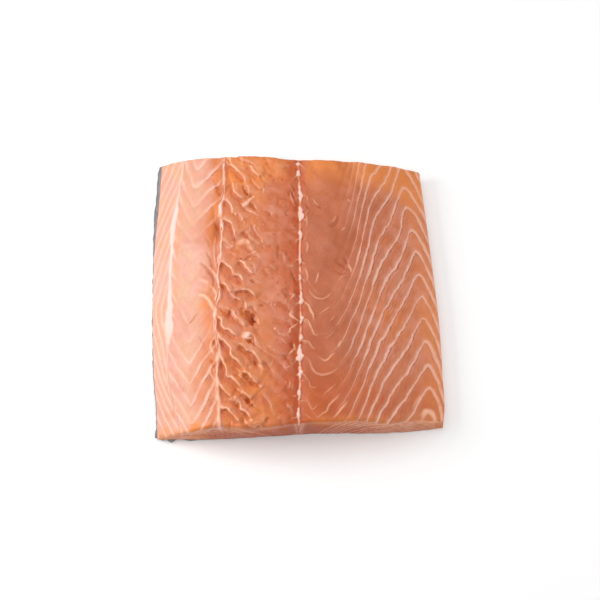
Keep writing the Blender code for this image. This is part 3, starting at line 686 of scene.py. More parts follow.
# The white marks where the backbone's joints sat
beads = {
    # y, half-width, length above and below, how far it lies to the side
    "places": ((69.3, 1.1, 1.2, 1.2, 0.0), (62.4, 1.4, 4.6, 0.8, -0.3), (50.4, 1.3, 7.0, 3.8, 0.6),
               (38.4, 1.6, 6.0, 3.2, 0.6), (26.4, 1.2, 4.8, 4.0, 0.3), (13.5, 0.85, 5.6, 4.0, 0.0),
               (2.5, 1.1, 3.4, 2.2, -0.2), (-10.3, 1.3, 6.0, 2.2, 0.3), (-20.8, 1.25, 2.8, 2.2, 0.6),
               (-31.0, 1.15, 2.6, 1.4, 0.6), (-42.4, 2.0, 7.6, 1.4, -0.1), (-49.6, 1.6, 3.2, 3.6, 0.3),
               (-61.3, 1.0, 3.2, 3.6, 0.1), (-72.7, 1.15, 4.6, 2.4, -0.2)),
    "height": 0.75,
    "longer": 1.15,
    "halfWidth": 0.88,  # share of the width given above
    "threadHalfWidth": 0.62,
    "threadHeight": 0.3,
    "wander": 0.25,
    "grooveDepth": 0.8,
    "grooveHalfWidth": 1.8,
    "shoulders": (0.4, 4),  # the groove's wider, shallower part: depth and width as shares
}

# Short pale hairs that leave the joint marks on both sides and droop. The first three pairs are a mean and
# its change from hair to hair.
sprouts = {
    "reach": (2.6, 1.6),
    "droop": (0.75, 0.5),  # share of the reach
    "start": (-0.6, 0.8),
    "bend": (0.55, 0.25),  # where the middle of a hair lies, as shares of reach and droop
    "halfWidth": 0.42,
    "height": 0.35,
}


def addMidline(x, y, look, zone):
    away = x - lineAt("middle", y) - beads["wander"] * patchesAlong(y, 4.0, 61)
    bead = np.zeros_like(x)
    for place, halfWidth, above, below, shift in beads["places"]:
        rise = (y - place) / (beads["longer"] * np.where(y > place, above, below))
        half = beads["halfWidth"] * halfWidth * np.clip(1 - np.abs(rise) ** 1.5, 0, 1)
        half = half + 0.45 * halfWidth * patches(x, y, 1.5, 65) * fade(half, 0.05, 0.5)
        off = np.abs(away - shift * (1 - np.clip(np.abs(rise), 0, 1)) + 0.25 * patches(x, y, 1.7, 62))
        bead = np.maximum(bead, fade(off, half + 0.45, half - 0.75) * fade(half, 0.05, 0.5))
    thread = hill(away, beads["threadHalfWidth"]) * np.clip(0.8 + 0.55 * patchesAlong(y, 2.6, 63), 0.2, 1)
    shallower, wider = beads["shoulders"]
    groove = hill(away, beads["grooveHalfWidth"]) + shallower * hill(away, wider * beads["grooveHalfWidth"])
    look["height"] += beads["height"] * bead + beads["threadHeight"] * thread - beads["grooveDepth"] * groove
    np.maximum(look["fatAndHighlight"], np.maximum(bead, 0.8 * thread), out=look["fatAndHighlight"])
    look["membrane"] += 0.8 * np.maximum(bead, 0.6 * thread)
    clear = 1 - bead
    stain = np.clip(patches(x, y, 3.0, 64) + 0.5, 0, 1)
    look["red"] += hill(away + 1.4, 5.4) * (0.35 + 0.8 * stain) * clear
    # painted shade along the groove, and the darkest painted shade just right of its middle
    look["shadeAndDeepRed"] += 0.6 * hill(away, 1.9) * clear * np.clip(patches(x, y, 2.4, 66) + 0.45, 0, 1)
    look["darkShade"] += 0.4 * hill(away - 0.6, 0.7) * clear * fade(patches(x, y, 2.2, 67), 0.2, 0.6)
    addLineTones(grooveTones, y, look, {"all": zone["all"], "clear": clear}, {"middle": away})
    for k, (place, halfWidth, above, below, shift) in enumerate(beads["places"]):
        for side in (-1, 1):
            addSprout(x, y, look, float(lineAt("middle", place)) + shift, place, k, side)


def addSprout(x, y, look, startX, beadY, k, side):
    def varied(name, rate):
        mean, change = sprouts[name]
        return mean + change * math.sin(rate * k + side)

    reach = side * varied("reach", 4.1)
    droop = varied("droop", 2.3) * abs(reach)
    startY = beadY + varied("start", 3.3)
    bendX, bendY = sprouts["bend"]
    middle = (startX + bendX * reach, startY - bendY * droop)
    end = (startX + reach, startY - droop)
    near, off, along = fromStroke(x, y, ((startX, startY), middle, end), 4)
    off = off + 0.4 * patches(x[near], y[near], 1.5, 68)
    shape = hill(off, sprouts["halfWidth"]) * (1 - along) ** 0.6
    look["height"][near] += sprouts["height"] * shape
    raiseTo(look["fatAndHighlight"], near, 0.8 * shape)
    # painted shadow beside each hair
    raiseTo(look["shadeAndDeepRed"], near, 0.8 * hill(off + 1.1 * side, 0.7) * (1 - along))


# The ridge of connective tissue left of the torn flakes: one or two strands, with slits
ridgeShape = {
    "wander": ((0.3, 5.0, 71), (0.35, 2.0, 76)),
    "thickness": (0.62, 0.28),  # mean and change
    "thickerFar": (0.4, (25, 40), (56, 46)),
    "thickerNear": (0.35, (0, -30)),
    "mound": (0.45, 1.3),  # height and half-width
    "strandHeight": 0.3,
    "slitDepth": 0.3,
    "gutter": (0.55, -3.0, 1.7, (-20, 30)),  # depth, offset, half-width, y from and to
}


def addRidge(x, y, look):
    (sway, swaySize, swaySeed), (jitter, jitterSize, jitterSeed) = ridgeShape["wander"]
    away = x - lineAt("ridge", y) - sway * patchesAlong(y, swaySize, swaySeed)
    away = away + jitter * patches(x, y, jitterSize, jitterSeed)
    strength = 1.0 + 0.2 * patchesAlong(y, 9.0, 72)
    split = np.clip(patchesAlong(y, 7.0, 73) - 0.25, 0, 1) * 1.6
    evenly, change = ridgeShape["thickness"]
    more, far, farEnd = ridgeShape["thickerFar"]
    thick = evenly + change * patchesAlong(y, 3.2, 75) + more * fade(y, *far) * (0.1 + 0.9 * fade(y, *farEnd))
    more, near = ridgeShape["thickerNear"]
    thick = thick + more * fade(y, *near)
    strand = np.maximum(hill(away - 0.7 * split, thick), split * hill(away + 1.1 * split, 0.5))
    slits = hill(away + 0.1, 0.28) * fade(patchesAlong(y, 3.6, 77), 0.25, 0.5)
    strand = strand * (1 - 0.8 * slits) * (0.8 + 0.4 * patches(x, y, 2.4, 78))
    height, halfWidth = ridgeShape["mound"]
    look["height"] += height * hill(away, halfWidth)
    look["height"] += ridgeShape["strandHeight"] * strand - ridgeShape["slitDepth"] * slits
    depth, offset, halfWidth, place = ridgeShape["gutter"]
    look["height"] -= depth * hill(away - offset, halfWidth) * fade(y, *place)
    # painted shade in the slits and left of the ridge's foot
    shade = hill(away + 2.4, 1.3) * np.clip(0.4 + patches(x, y, 6.0, 74), 0, 1) * fade(y, -30, 0)
    look["shadeAndDeepRed"] += 0.6 * slits + 0.25 * shade
    np.maximum(look["fatAndHighlight"], strength * strand, out=look["fatAndHighlight"])
    np.maximum(look["pale"], 0.9 * strand, out=look["pale"])
    look["membrane"] += 0.65 * strength * strand * fade(y, -45, -15) * (1 - 0.5 * fade(y, 55, 65))


# The white band along the back's strip
seamShape = {
    "halfWidth": ((-76, 0.2), (-50, 0.3), (-30, 0.7), (-23, 2.4), (-14, 3.0), (-5, 1.6), (2, 1.0), (24, 1.1),
                  (33, 1.4), (44, 1.7), (54, 0.9), (64, 0.6), (76, 0.5)),
    "wander": 0.3,
    "uneven": 0.45,
    "height": 0.5,
    "softEdge": (0.3, 0.6),
}


def addSeam(x, y, look):
    away = np.abs(x - lineAt("seam", y) - seamShape["wander"] * patchesAlong(y, 6.0, 81))
    wide = through(seamShape["halfWidth"], y) * (1 + seamShape["uneven"] * patches(x, y, 3.5, 82))
    inner, outer = seamShape["softEdge"]
    cord = fade(away, wide + outer, inner * wide)
    look["height"] += seamShape["height"] * cord
    np.maximum(look["fatAndHighlight"], 0.85 * cord * fade(y, -60, -40), out=look["fatAndHighlight"])
    look["membrane"] += 0.9 * cord * fade(y, -45, -15) * (1 - 0.6 * fade(y, 48, 62))


masks = ("fatAndHighlight", "shadeAndDeepRed", "darkShade", "red", "warm", "amber", "membrane", "pale", "brick", "rust", "fibrous")

# Noise in the top's height: zone, height, patch size, first seed, layers, and how much finer it is along the
# slant of the flakes, or 0 where it has no slant
reliefNoise = (
    ("rough", 0.25, 4.0, 24, 2, 1.8),
    ("smooth", 0.5, 14.0, 30, 1, 0),
    ("smooth", 0.3, 3.6, 27, 2, 1.5),
    ("torn", 0.1, 1.5, 28, 1, 0),
    ("back", 0.22, 7.0, 29, 3, 0),
    ("belly", 0.16, 7.0, 29, 3, 0),
)
reliefHeights = {
    "folds": 0.3,
    "bumps": 1.1,
    "pocks": 0.4,
    "backGrooves": 0.28,
    "bellyGrooves": 0.20,
    "calmSwell": 0.9,
}


def surfaceZones(x, y):
    # shares of the top from 0 to 1, and distances from its lines
    away = {name: x - lineAt(name, y) for name in fishLines}
    fromFlakes = away["flakeEnd"] - 6.0 * fade(y, 5, -15)
    zone = {"all": np.ones_like(x), "fromRidge": away["ridge"]}
    zone["rough"] = fade(away["ridge"], 0.5, 4.0) * fade(fromFlakes, 9.0, -4.0)
    zone["smooth"] = fade(fromFlakes, -4.0, 9.0) * fade(away["middle"], -1.5, -4.0)
    zone["back"] = fade(away["ridge"], 0.0, -3.0)
    zone["torn"] = np.maximum(zone["rough"], 0.8 * zone["smooth"])
    zone["belly"] = fade(away["middle"], 1.5, 6.0)
    zone["calm"] = zone["belly"] * fade(x - 0.15 * y, 44, 26)
    zone["innerBelly"] = zone["belly"] * (1 - 0.25 * fade(x, 30, 60))
    zone["flank"] = fade(x - 0.2 * y, 22, 44) * fade(away["apex"], -2, -12)
    zone["beforeFarCut"] = fade(y, 76, 70)
    zone["mottled"] = 1 + 0.6 * patches(x, y, 5.0, 97)
    zone["mottledBack"] = zone["mottled"] * zone["back"]
    zone["mottledRough"] = zone["mottled"] * zone["rough"]
    return zone, away


def addLowRelief(x, y, look, zone, away, wave):
    rough, smooth, calm = zone["rough"], zone["smooth"], zone["calm"]
    slant = (x - y) * diagonal
    cross = (x + y) * diagonal
    for name, height, size, seed, count, stretch in reliefNoise:
        here = (slant, cross * stretch) if stretch else (x, y)
        look["height"] += height * zone[name] * layers(*here, size, seed, count)
    folds = 1 - 2 * np.abs(layers(slant, cross * 2.0, 9.0, 21, 2))
    bumps = np.hypot(layers(x, y, 8.0, 26, 2), 0.12)
    pocks = smooth * fade(patches(x, y, 2.3, 137), 0.45, 0.8)
    swell = layers(x + 0.4 * y, y, 9.0, 142, 2)
    look["height"] += reliefHeights["folds"] * rough * folds + reliefHeights["bumps"] * smooth * bumps
    look["height"] += reliefHeights["calmSwell"] * calm * swell - reliefHeights["pocks"] * pocks
    grooves = reliefHeights["bellyGrooves"] * zone["belly"] * fade(away["middle"], 8, 30)
    grooves = grooves + reliefHeights["backGrooves"] * zone["back"]
    look["height"] -= grooves * (0.5 + 0.5 * wave) ** 2
    # painted shade in the fold valleys, between the bumps, in the pocks and the swell's hollows; painted
    # highlight on the bump and swell tops
    look["shadeAndDeepRed"] += 0.4 * rough * np.clip(-folds * 1.2 - 0.1, 0, 1) + 0.15 * smooth * fade(bumps, 0.3, 0.12)
    look["shadeAndDeepRed"] += 0.5 * pocks + 0.5 * calm * fade(-swell, 0.0, 0.6)
    look["pale"] += 0.12 * smooth * fade(bumps, 0.2, 0.5) + 0.06 * calm * fade(swell, 0.1, 0.6)


def addTones(x, y, look, zone, away, phase, wave):
    blush = layers(x, y, 12.0, 93, 2)
    zone["nearWalls"] = zone["mottledBack"] * fade(wave, -0.4, 0.9)
    for mask, strength, name, start, end, wander in zoneTones:
        look[mask] += strength * zone[name] * fade(y + wander * blush, start, end)
    addLineTones(lineTones, y, look, zone, away)
    rough, smooth, back, flank = (zone[name] for name in ("rough", "smooth", "back", "flank"))
    paleBack = fade(away["vBottoms"] + 4.0 * patches(x, y, 9.0, 91), 15.0, -1.0)
    look["pale"] += paleBack * (0.86 + 0.2 * blush)
    look["pale"] += 0.22 * back * hill(y - 14, 20.0) * fade(away["ridge"], -3.0, -7.0)
    look["pale"] -= 0.3 * back * fade(y, -20, -50) * fade(patches(x, y, 4.0, 146), 0.0, 0.7)
    look["warm"] += 0.2 * layers(x, y, 14.0, 92, 2) + 0.8 * zone["belly"] * fade(y + 0.1 * x, 50, 74)
    look["warm"] += 0.35 * fade(away["apex"], -8, 4) + 0.35 * fade(away["seam"], 0.0, -2.5) * zone["mottled"]
    look["red"] += 0.25 * smooth + 0.3 * rough * layers(x, y, 8.0, 94, 2)
    look["amber"] += 0.18 * zone["mottledRough"]
    nearMiddle = fade(away["middle"] + 1.6 * patches(x, y, 4.0, 145), -1.0, 4.0)
    brick = nearMiddle * fade(x - 0.15 * y, 56, 30) * fade(y, 66, 40)
    look["brick"] += brick * (0.85 + 0.4 * blush) + 0.3 * smooth * fade(away["middle"], -16, -4)
    look["fibrous"] += flank * (0.6 + 0.5 * patches(x, y, 8.0, 95)) * (1 - 0.7 * fade(y, 15, 50))
    blockTone = patches(1.9 * phase, alongWalls(x, y), 9.0, 141)
    look["amber"] += 0.35 * flank * np.clip(blockTone, 0, 1)
    look["pale"] += 0.2 * flank * np.clip(-blockTone, 0, 1)


def alongWalls(x, y):
    # distance along the walls of the belly side
    return 0.47 * x + 0.88 * y


def surfaceRelief(x, y):
    # height over the dome, and masks for the material, on the top grid
    look = {name: np.zeros_like(x) for name in (*masks, "height")}
    zone, away = surfaceZones(x, y)
    phase = septumPhase(x, y)
    wave = np.cos(2 * math.pi * phase)
    addLowRelief(x, y, look, zone, away, wave)
    addTones(x, y, look, zone, away, phase, wave)
    taken = addFlakes(x, y, look, zone)
    addTorn(x, y, look, zone, taken)
    addPits(x, y, look)
    addStrands(x, y, look)
    addMidline(x, y, look, zone)
    addRidge(x, y, look)
    addSeam(x, y, look)
    look["septum"] = phase
    look["gap"] = septumGap(x, y)
    look["show"], look["width"] = septumShow(x, y, away, phase)
    return look.pop("height"), look


# How strongly the walls show, from 0 to 1, and their half-widths. The curves named "along" are over y, the
# others over the way from one line to the next.
wallShow = {
    "belly": ((0, 0.1), (0.12, 0.25), (0.2, 0.55), (0.35, 0.8), (0.6, 1.0), (1, 1.0)),
    "bellyWidth": ((0, 0.36), (0.25, 0.36), (0.4, 0.56), (0.55, 0.66), (0.75, 0.58), (1, 0.6)),
    "barb": ((0, 0.3), (0.45, 0.2), (1, 0.1)),
    "alongRightArm": ((-78, 0.85), (-38, 0.7), (-29, 0.4), (-21, 0.15), (-12, 0.04), (30, 0.03), (38, 0.35),
                      (50, 0.75), (76, 0.8)),
    "alongLeftArm": ((-78, 0.8), (-38, 0.65), (-29, 0.35), (-21, 0.12), (-12, 0.04), (32, 0.02), (42, 0.25),
                     (60, 0.35), (76, 0.35)),
    "strip": 0.95,
    "edge": 1.0,
    "stripWidth": 0.62,
    "backWidth": (0.72, 0.25, 0.35),  # least, more towards the far cut, more on the near right arms
    "edgeWidth": (1.0, 0.3),
}


def bellyWalls(x, y, share, phase):
    broken = fade(share, 0.34, 0.1) * fade(patches(x, y, 5.0, 132), -0.3, 0.3)
    upper = fade(y - 0.4 * (x - 30), -12, 14) * fade(share, 0.4, 0.2)
    upmost = fade(y, 36, 52) * fade(share, 0.5, 0.38)
    show = through(wallShow["belly"], share) * (1 - 0.8 * broken) * (1 - 0.85 * upper) * (1 - 0.65 * upmost)
    uneven = 1 + 0.5 * patches(2.2 * phase, alongWalls(x, y), 14.0, 133)
    thicker = 1 - 0.15 * fade(y, 10, 40) + 0.6 * fade(y, 46, 64) - 0.15 * fade(y, -20, -60)
    return show, through(wallShow["bellyWidth"], share) * uneven * thicker


def backWalls(x, y, away):
    short = np.maximum(fade(y, -20, 20), 0.8 * fade(y, -30, -45))
    rightArm = through(wallShow["alongRightArm"], y) * (1 - 0.7 * fade(away["ridge"], -5.0, -2.0) * short)
    onLeft = fade(away["vBottoms"], 0, -4)
    show = through(wallShow["alongLeftArm"], y) * onLeft + rightArm * (1 - onLeft)
    show = show * (1 - 0.5 * fade(patches(x, y, 8.0, 131), -0.1, 0.5))
    inBand = fade(away["seam"], 1, 5)
    least, farther, nearer = wallShow["backWidth"]
    width = least + farther * fade(y, -10, 30) + nearer * fade(away["vBottoms"], 0, 8) * fade(y, -32, -58)
    return show * inBand + wallShow["strip"] * (1 - inBand), width


def septumShow(x, y, away, phase):
    toApex = np.clip(away["uBottoms"] / (away["uBottoms"] - away["apex"]), 0, 1)
    toBottom = np.clip(away["middle"] / (away["middle"] - away["uBottoms"]), 0, 1)
    barb = through(wallShow["barb"], toBottom) * (1 - 0.8 * fade(y, -2, 12))
    barb = barb * (1 - 0.8 * fade(patches(x, y, 4.0, 134), -0.1, 0.4))
    bellyShow, bellyWidth = bellyWalls(x, y, toApex, phase)
    backShow, backWidth = backWalls(x, y, away)
    evenly, change = wallShow["edgeWidth"]
    edgeWidth = evenly + change * patches(x, y, 9.0, 135)
    places = (away["apex"] >= 0, away["uBottoms"] >= 0, away["middle"] >= 0, away["ridge"] >= 0)
    show = np.select(places, (wallShow["edge"], bellyShow, barb, 0.0), backShow)
    width = np.where(away["seam"] < 0, wallShow["stripWidth"], backWidth)
    return show, np.select(places, (edgeWidth, bellyWidth, 0.4, 0.4), width)


def bandSteps(count, tightStart, tightEnd):
    # shares of a band, closer together at an end with fine relief
    at = (np.arange(count) + 0.5) / count
    reach = gridCounts["tightReach"]
    size = 1 - 0.5 * tightStart * hill(at, reach) - 0.5 * tightEnd * hill(1 - at, reach)
    return np.concatenate(([0], np.cumsum(size))) / size.sum()


def rowShares():
    start = np.array(gridCounts["rimRows"]) / cuts["length"]
    inner = np.linspace(start[-1], 1 - start[-1], gridCounts["rows"] - 2 * (len(start) - 1))
    return np.concatenate((start[:-1], inner, 1 - start[:-1][::-1]))


def planGrid(along):
    # columns that follow the lines along the fish, rows between the two cuts
    names = list(fishLines)
    y = nearEdge(0 * along)[None, :] * (1 - along) + farEdge(0 * along)[None, :] * along
    for _ in range(gridCounts["passes"]):
        columns = []
        for start, end, count, tight in zip(names, names[1:], gridCounts["bands"], gridCounts["tight"]):
            for share in bandSteps(count, *tight)[:-1]:
                row = y[min(len(columns), len(y) - 1)]
                columns.append(lineAt(start, row) * (1 - share) + lineAt(end, row) * share)
        columns.append(lineAt(names[-1], y[-1]))
        x = np.array(columns)
        y = nearEdge(x) * (1 - along) + farEdge(x) * along
    return x, y


def closedMesh(name, points, flat, attributes):
    # a closed mesh round points[column, row, level], with the given flat columns of its base as one face
    columns, rows, levels = points.shape[:3]
    used = np.zeros((columns, rows, levels), bool)
    used[:, :, -1] = True
    used[[0, -1], :, :] = True
    used[:, [0, -1], :] = True
    under = (slice(0, flat[0] + 1), slice(flat[1], columns)) if flat else (slice(0, columns),)
    for part in under:
        used[part, :, 0] = True
    number = np.cumsum(used).reshape(used.shape) - 1

    def quads(a, b, c, d):
        return np.stack((a, b, c, d), axis=-1).reshape(-1, 4)

    top = number[:, :, -1]
    base = number[:, :, 0]
    faces = [quads(top[:-1, :-1], top[1:, :-1], top[1:, 1:], top[:-1, 1:])]
    for part in under:
        strip = base[part]
        faces.append(quads(strip[:-1, 1:], strip[1:, 1:], strip[1:, :-1], strip[:-1, :-1]))
    near, far, left, right = number[:, 0], number[:, -1], number[0], number[-1]
    faces.append(quads(near[:-1, :-1], near[1:, :-1], near[1:, 1:], near[:-1, 1:]))
    faces.append(quads(far[1:, :-1], far[:-1, :-1], far[:-1, 1:], far[1:, 1:]))
    faces.append(quads(right[:-1, :-1], right[1:, :-1], right[1:, 1:], right[:-1, 1:]))
    faces.append(quads(left[1:, :-1], left[:-1, :-1], left[:-1, 1:], left[1:, 1:]))
    faces = np.concatenate(faces).tolist()
    if flat:
        ring = list(base[flat[0], :]) + list(base[flat[0] + 1: flat[1], -1])
        ring += list(base[flat[1], ::-1]) + list(base[flat[0] + 1: flat[1], 0][::-1])
        faces.append(ring)
    mesh = bpy.data.meshes.new(name)
    mesh.from_pydata(points[used] * mm, [], faces)
    mesh.shade_smooth()
    for key, values in attributes.items():
        field = mesh.attributes.new(key, "FLOAT", "POINT")
        field.data.foreach_set("value", np.broadcast_to(values, used.shape)[used].astype(np.float32))
    thing = bpy.data.objects.new(name, mesh)
    bpy.context.scene.collection.objects.link(thing)
    return thing


def roundOver(away, radius):
    # how far a rounded rim has fallen, at a distance inside its edge
    inside = np.clip(radius - away, 0, radius)
    return radius - np.sqrt(np.maximum(radius**2 - inside**2, 0))


# Tones beside the near cut: mask, strength, distance from the cut, half-width, x from and to which they grow
rimTones = (
    ("pale", 0.2, 0.0, 3.5, 5, 22),
    ("amber", 0.5, 0.0, 3.0, 5, 22),
    ("amber", 0.5, 0.5, 2.6, -44, -52),
)


def addRimTones(x, y, look, fromNear, fromFar):
    # a painted highlight in patches along the far rim
    rimHighlight = np.clip(0.5 + patches(x, y, 4.0, 103), 0, 1)
    np.maximum(look["fatAndHighlight"], 0.6 * rimHighlight * np.exp(-fromFar / 1.2), out=look["fatAndHighlight"])
    look["amber"] += 0.6 * np.clip(0.3 + patches(x, y, 5.0, 104), 0, 1) * np.exp(-fromNear / 2.0)
    look["amber"] += 1.2 * hill(x + 51.5, 4.0) * hill(fromNear - 1.5, 3.0)
    look["pale"] += 0.35 * np.exp(-fromNear / 2.4) * fade(x, 0, -20)
    look["shadeAndDeepRed"] *= 1 - 0.7 * hill(fromNear, 3.5) * fade(x, 5, 22)
    for mask, strength, away, halfWidth, start, end in rimTones:
        look[mask] += strength * hill(fromNear - away, halfWidth) * fade(x, start, end)


def fleshPoints():
    along = rowShares()
    x, y = planGrid(along)
    amount, size, reach = body["cutRagged"]
    ragged = amount * layers(x, y, size, 101, 3)
    fromNear = y - y[:, :1]
    fromFar = y[:, -1:] - y
    y = y - ragged * np.exp(-fromNear / reach) + ragged * np.exp(-fromFar / reach)
    relief, look = surfaceRelief(x, y)
    addRimTones(x, y, look, fromNear, fromFar)
    inside = fade(x - x[0], *body["edgeCalm"]) * fade(x[-1] - x, *body["edgeCalm"])
    (toBelly, start, end), (atPlace, place, halfWidth) = body["nearRimRounder"]
    nearRim = body["cutRim"] * (1 + toBelly * fade(x, start, end) + atPlace * hill(x - place, halfWidth))
    top = dome(x, y) + relief * inside
    top -= roundOver(fromNear, nearRim) + roundOver(fromFar, body["cutRim"])
    top -= roundOver(x - x[0], body["backRim"]) + roundOver(x[-1] - x, body["bellyRim"])
    lift = skinLift(x, y)
    bottom = lift + skinParts["thickness"] + skinParts["gap"]
    top = np.maximum(top, bottom + body["leastWall"])
    level = np.linspace(0, 1, gridCounts["levels"])
    points = np.zeros(x.shape + (len(level), 3))
    points[..., 0] = x[..., None]
    points[..., 1] = y[..., None]
    points[..., 2] = bottom[..., None] + (top - bottom)[..., None] * level
    bow = body["cutBulge"] * np.sin(math.pi * level)
    points[:, 0, :, 1] -= bow
    points[:, -1, :, 1] += bow
    pull = through(cuts["nearLean"], x) * (1 - along) + through(cuts["farLean"], x) * along
    points[..., 1] -= pull[..., None] * (1 - level) ** body["footCurve"]
    undercut, curve = body["bellyUndercut"]
    points[-1, :, :, 0] -= undercut * (1 - level) ** curve
    fields = {name: np.repeat(values[..., None], len(level), axis=2) for name, values in look.items()}
    for name in ("cut", "brown", "face"):
        fields[name] = np.zeros_like(fields["fatAndHighlight"])
    for row, out in ((0, -1.0), (-1, 1.0)):
        finishCut(points[:, row], level, {name: values[:, row] for name, values in fields.items()}, out)
    lying = np.flatnonzero(np.all(lift < 1e-6, axis=1))
    return points, (int(lying[0]), int(lying[-1])), fields


cutFace = {
    "topReaches": ((0.2, -34, 24.0), (0.22, 8, 30)),  # share of the height with the top's colours, and x
    "bare": (0.15, (-58, -34), (0.75, 30, 68)),  # least share that shows the cut's own colour, and x
    "lessOnBelly": (0.3, 5, 20),
    "show": (0.4, 0.6),
    "width": 0.6,
    "groove": 0.16,
    "ragged": (0.35, 6.0, 112),
    "middleWall": {"wander": (1.2, 9.0, 111), "halfWidth": 1.1, "fatAndHighlight": 0.35},
    "wedge": (18.0, 0.35),  # half-width and strength of the brown wedge at the middle's foot
    "beyond": (90, 9),  # so many walls more are taken to follow past the long edges, in so many millimetres
}


def cutPhase(x, y, level, phase):
    # on a cut the walls lean towards the middle with depth
    middle = lineAt("middle", y)
    wide = middle[:, None] + (x - middle)[:, None] * (1 + septa["spread"] * (1 - level))
    length, walls = cutFace["beyond"]
    reachX = np.concatenate(([x[0] - length], x, [x[-1] + length]))
    reachPhase = np.concatenate(([phase[0] - walls], phase, [phase[-1] + walls]))
    return np.interp(wide, reachX, reachPhase)


def finishCut(face, level, look, out):
    # masks and fine relief of one cut from face[column, level], where out is -1 for the near cut, else 1
    x = face[..., 0]
    z = face[..., 2]
    phase = cutPhase(x[:, -1], face[:, -1, 1], level, look["septum"][:, -1])
    slopeX = np.gradient(phase, axis=0) / np.maximum(np.gradient(x, axis=0), 1e-3)
    slopeZ = np.gradient(phase, axis=1) / np.maximum(np.gradient(z, axis=1), 1e-3)
    look["septum"][:] = phase
    look["gap"][:] = np.clip(1 / np.maximum(np.hypot(slopeX, slopeZ), 1e-3), *septa["cutGaps"])
    depth = 1 - level
    below = fade(depth, 0.0, 0.3)
    (amount, place, halfWidth), (onwards, start, end) = cutFace["topReaches"]
    lower = depth - amount * hill(x - place, halfWidth) - onwards * fade(x, start, end)
    least, bareFrom, (less, start, end) = cutFace["bare"]
    bare = least + (1 - least) * fade(x, *bareFrom) * (1 - less * fade(x, start, end))
    less, start, end = cutFace["lessOnBelly"]
    look["face"][:] = fade(lower, 0.0, 0.2)
    look["cut"][:] = fade(lower, 0.0, 0.4) * bare * (1 - less * fade(x, start, end))
    look["amber"] += (0.5 + 0.5 * fade(x, -40, -60)) * below * (1 - bare)
    for name in ("shadeAndDeepRed", "darkShade", "red", "warm", "amber", "membrane", "pale", "brick", "rust"):
        look[name] *= 1 - bare * fade(lower, 0.0, 0.4)
    look["fatAndHighlight"] *= 1 - 0.8 * bare * below
    look["show"][:] = cutFace["show"][0] * look["show"] + cutFace["show"][1]
    look["width"] += (cutFace["width"] - look["width"]) * below
    amount, size, seed = cutFace["middleWall"]["wander"]
    wall = np.abs(x - lineAt("middle", face[..., 1]) + amount * patchesAlong(z, size, seed))
    raised = hill(wall, cutFace["middleWall"]["halfWidth"]) * fade(level, 0.1, 0.3)
    np.maximum(look["fatAndHighlight"], cutFace["middleWall"]["fatAndHighlight"] * raised, out=look["fatAndHighlight"])
    halfWidth, strength = cutFace["wedge"]
    wedge = strength * np.clip(1 - wall / halfWidth, 0, 1) * fade(level, 0.45, 0.10)
    look["brown"][:] = np.clip(wedge + 0.35 * hill(wall - 3.0, 3.0) * fade(level, 0.1, 0.5), 0, 1)
    wave = np.cos(2 * math.pi * phase)
    look["shadeAndDeepRed"] += 0.5 * fade(-wave, -0.4, 0.9) * fade(depth, 0.05, 0.3)
    look["shadeAndDeepRed"] += 0.3 * fade(x, 48, 66) * fade(depth, 0.1, 0.4)
    look["pale"] += 0.3 * hill(x + 2, 20) * fade(depth, 0.1, 0.4)
    amount, size, seed = cutFace["ragged"]
    relief = amount * layers(x, z, size, seed, 3) - cutFace["groove"] * (0.5 + 0.5 * wave) ** 3
    face[:, 1:-1, 1] += out * relief[:, 1:-1]


skinParts = {
    "thickness": 1.2,
    "gap": 0.05,  # between the skin and the flesh that lies on it
    "backCurl": (9.0, 1.6),  # width and height of the turned-up back edge
    "bellyCurl": (11.0, 2.8),
    "curlLimit": 1.3,
    "shows": ((-75, 0.8), (-62, 0.2), (-50, 0.2), (-30, 0.3), (10, 0.2), (22, 0.5), (42, 1.4), (64, 1.5),
              (75, 0.9)),
    "leastShown": 0.2,
    "bellyInset": 2.6,
    "nearInset": 0.4,
    "farReach": 0.1,
    "edgeWave": 0.5,
    "wavesAlong": ((1, 0.31, 0), (0.6, 0.83, 1.1)),  # share, how fast it turns per millimetre, start
    "wavesAcross": ((1, 0.27, 0.4), (0.5, 0.71, 0)),
    # x, reach and half-width of the tatters under the near cut
    "tatters": ((-67.0, 2.21, 2.0), (-58.3, 1.56, 1.4), (-71.5, 1.04, 1.2), (-44.0, 0.65, 1.6)),
    "thinEdge": 0.5,
    "columns": ((0, 0.09, 22), (0.09, 0.91, 26), (0.91, 1, 16)),  # share from, share to, count
    "rows": (-76.0, 72.0, 230),
}


def skinLift(x, y):
    # height of the skin's outer face: flat, with both long edges turned up
    backWidth, backHeight = skinParts["backCurl"]
    bellyWidth, bellyHeight = skinParts["bellyCurl"]
    back = np.clip(1 - (x - lineAt("backEdge", y)) / backWidth, 0, skinParts["curlLimit"])
    belly = np.clip(1 - (lineAt("bellyEdge", y) - x) / bellyWidth, 0, skinParts["curlLimit"])
    return backHeight * back**2 + bellyHeight * belly**2


def waves(at, rows):
    return skinParts["edgeWave"] * sum(share * np.sin(rate * at + start) for share, rate, start in rows)


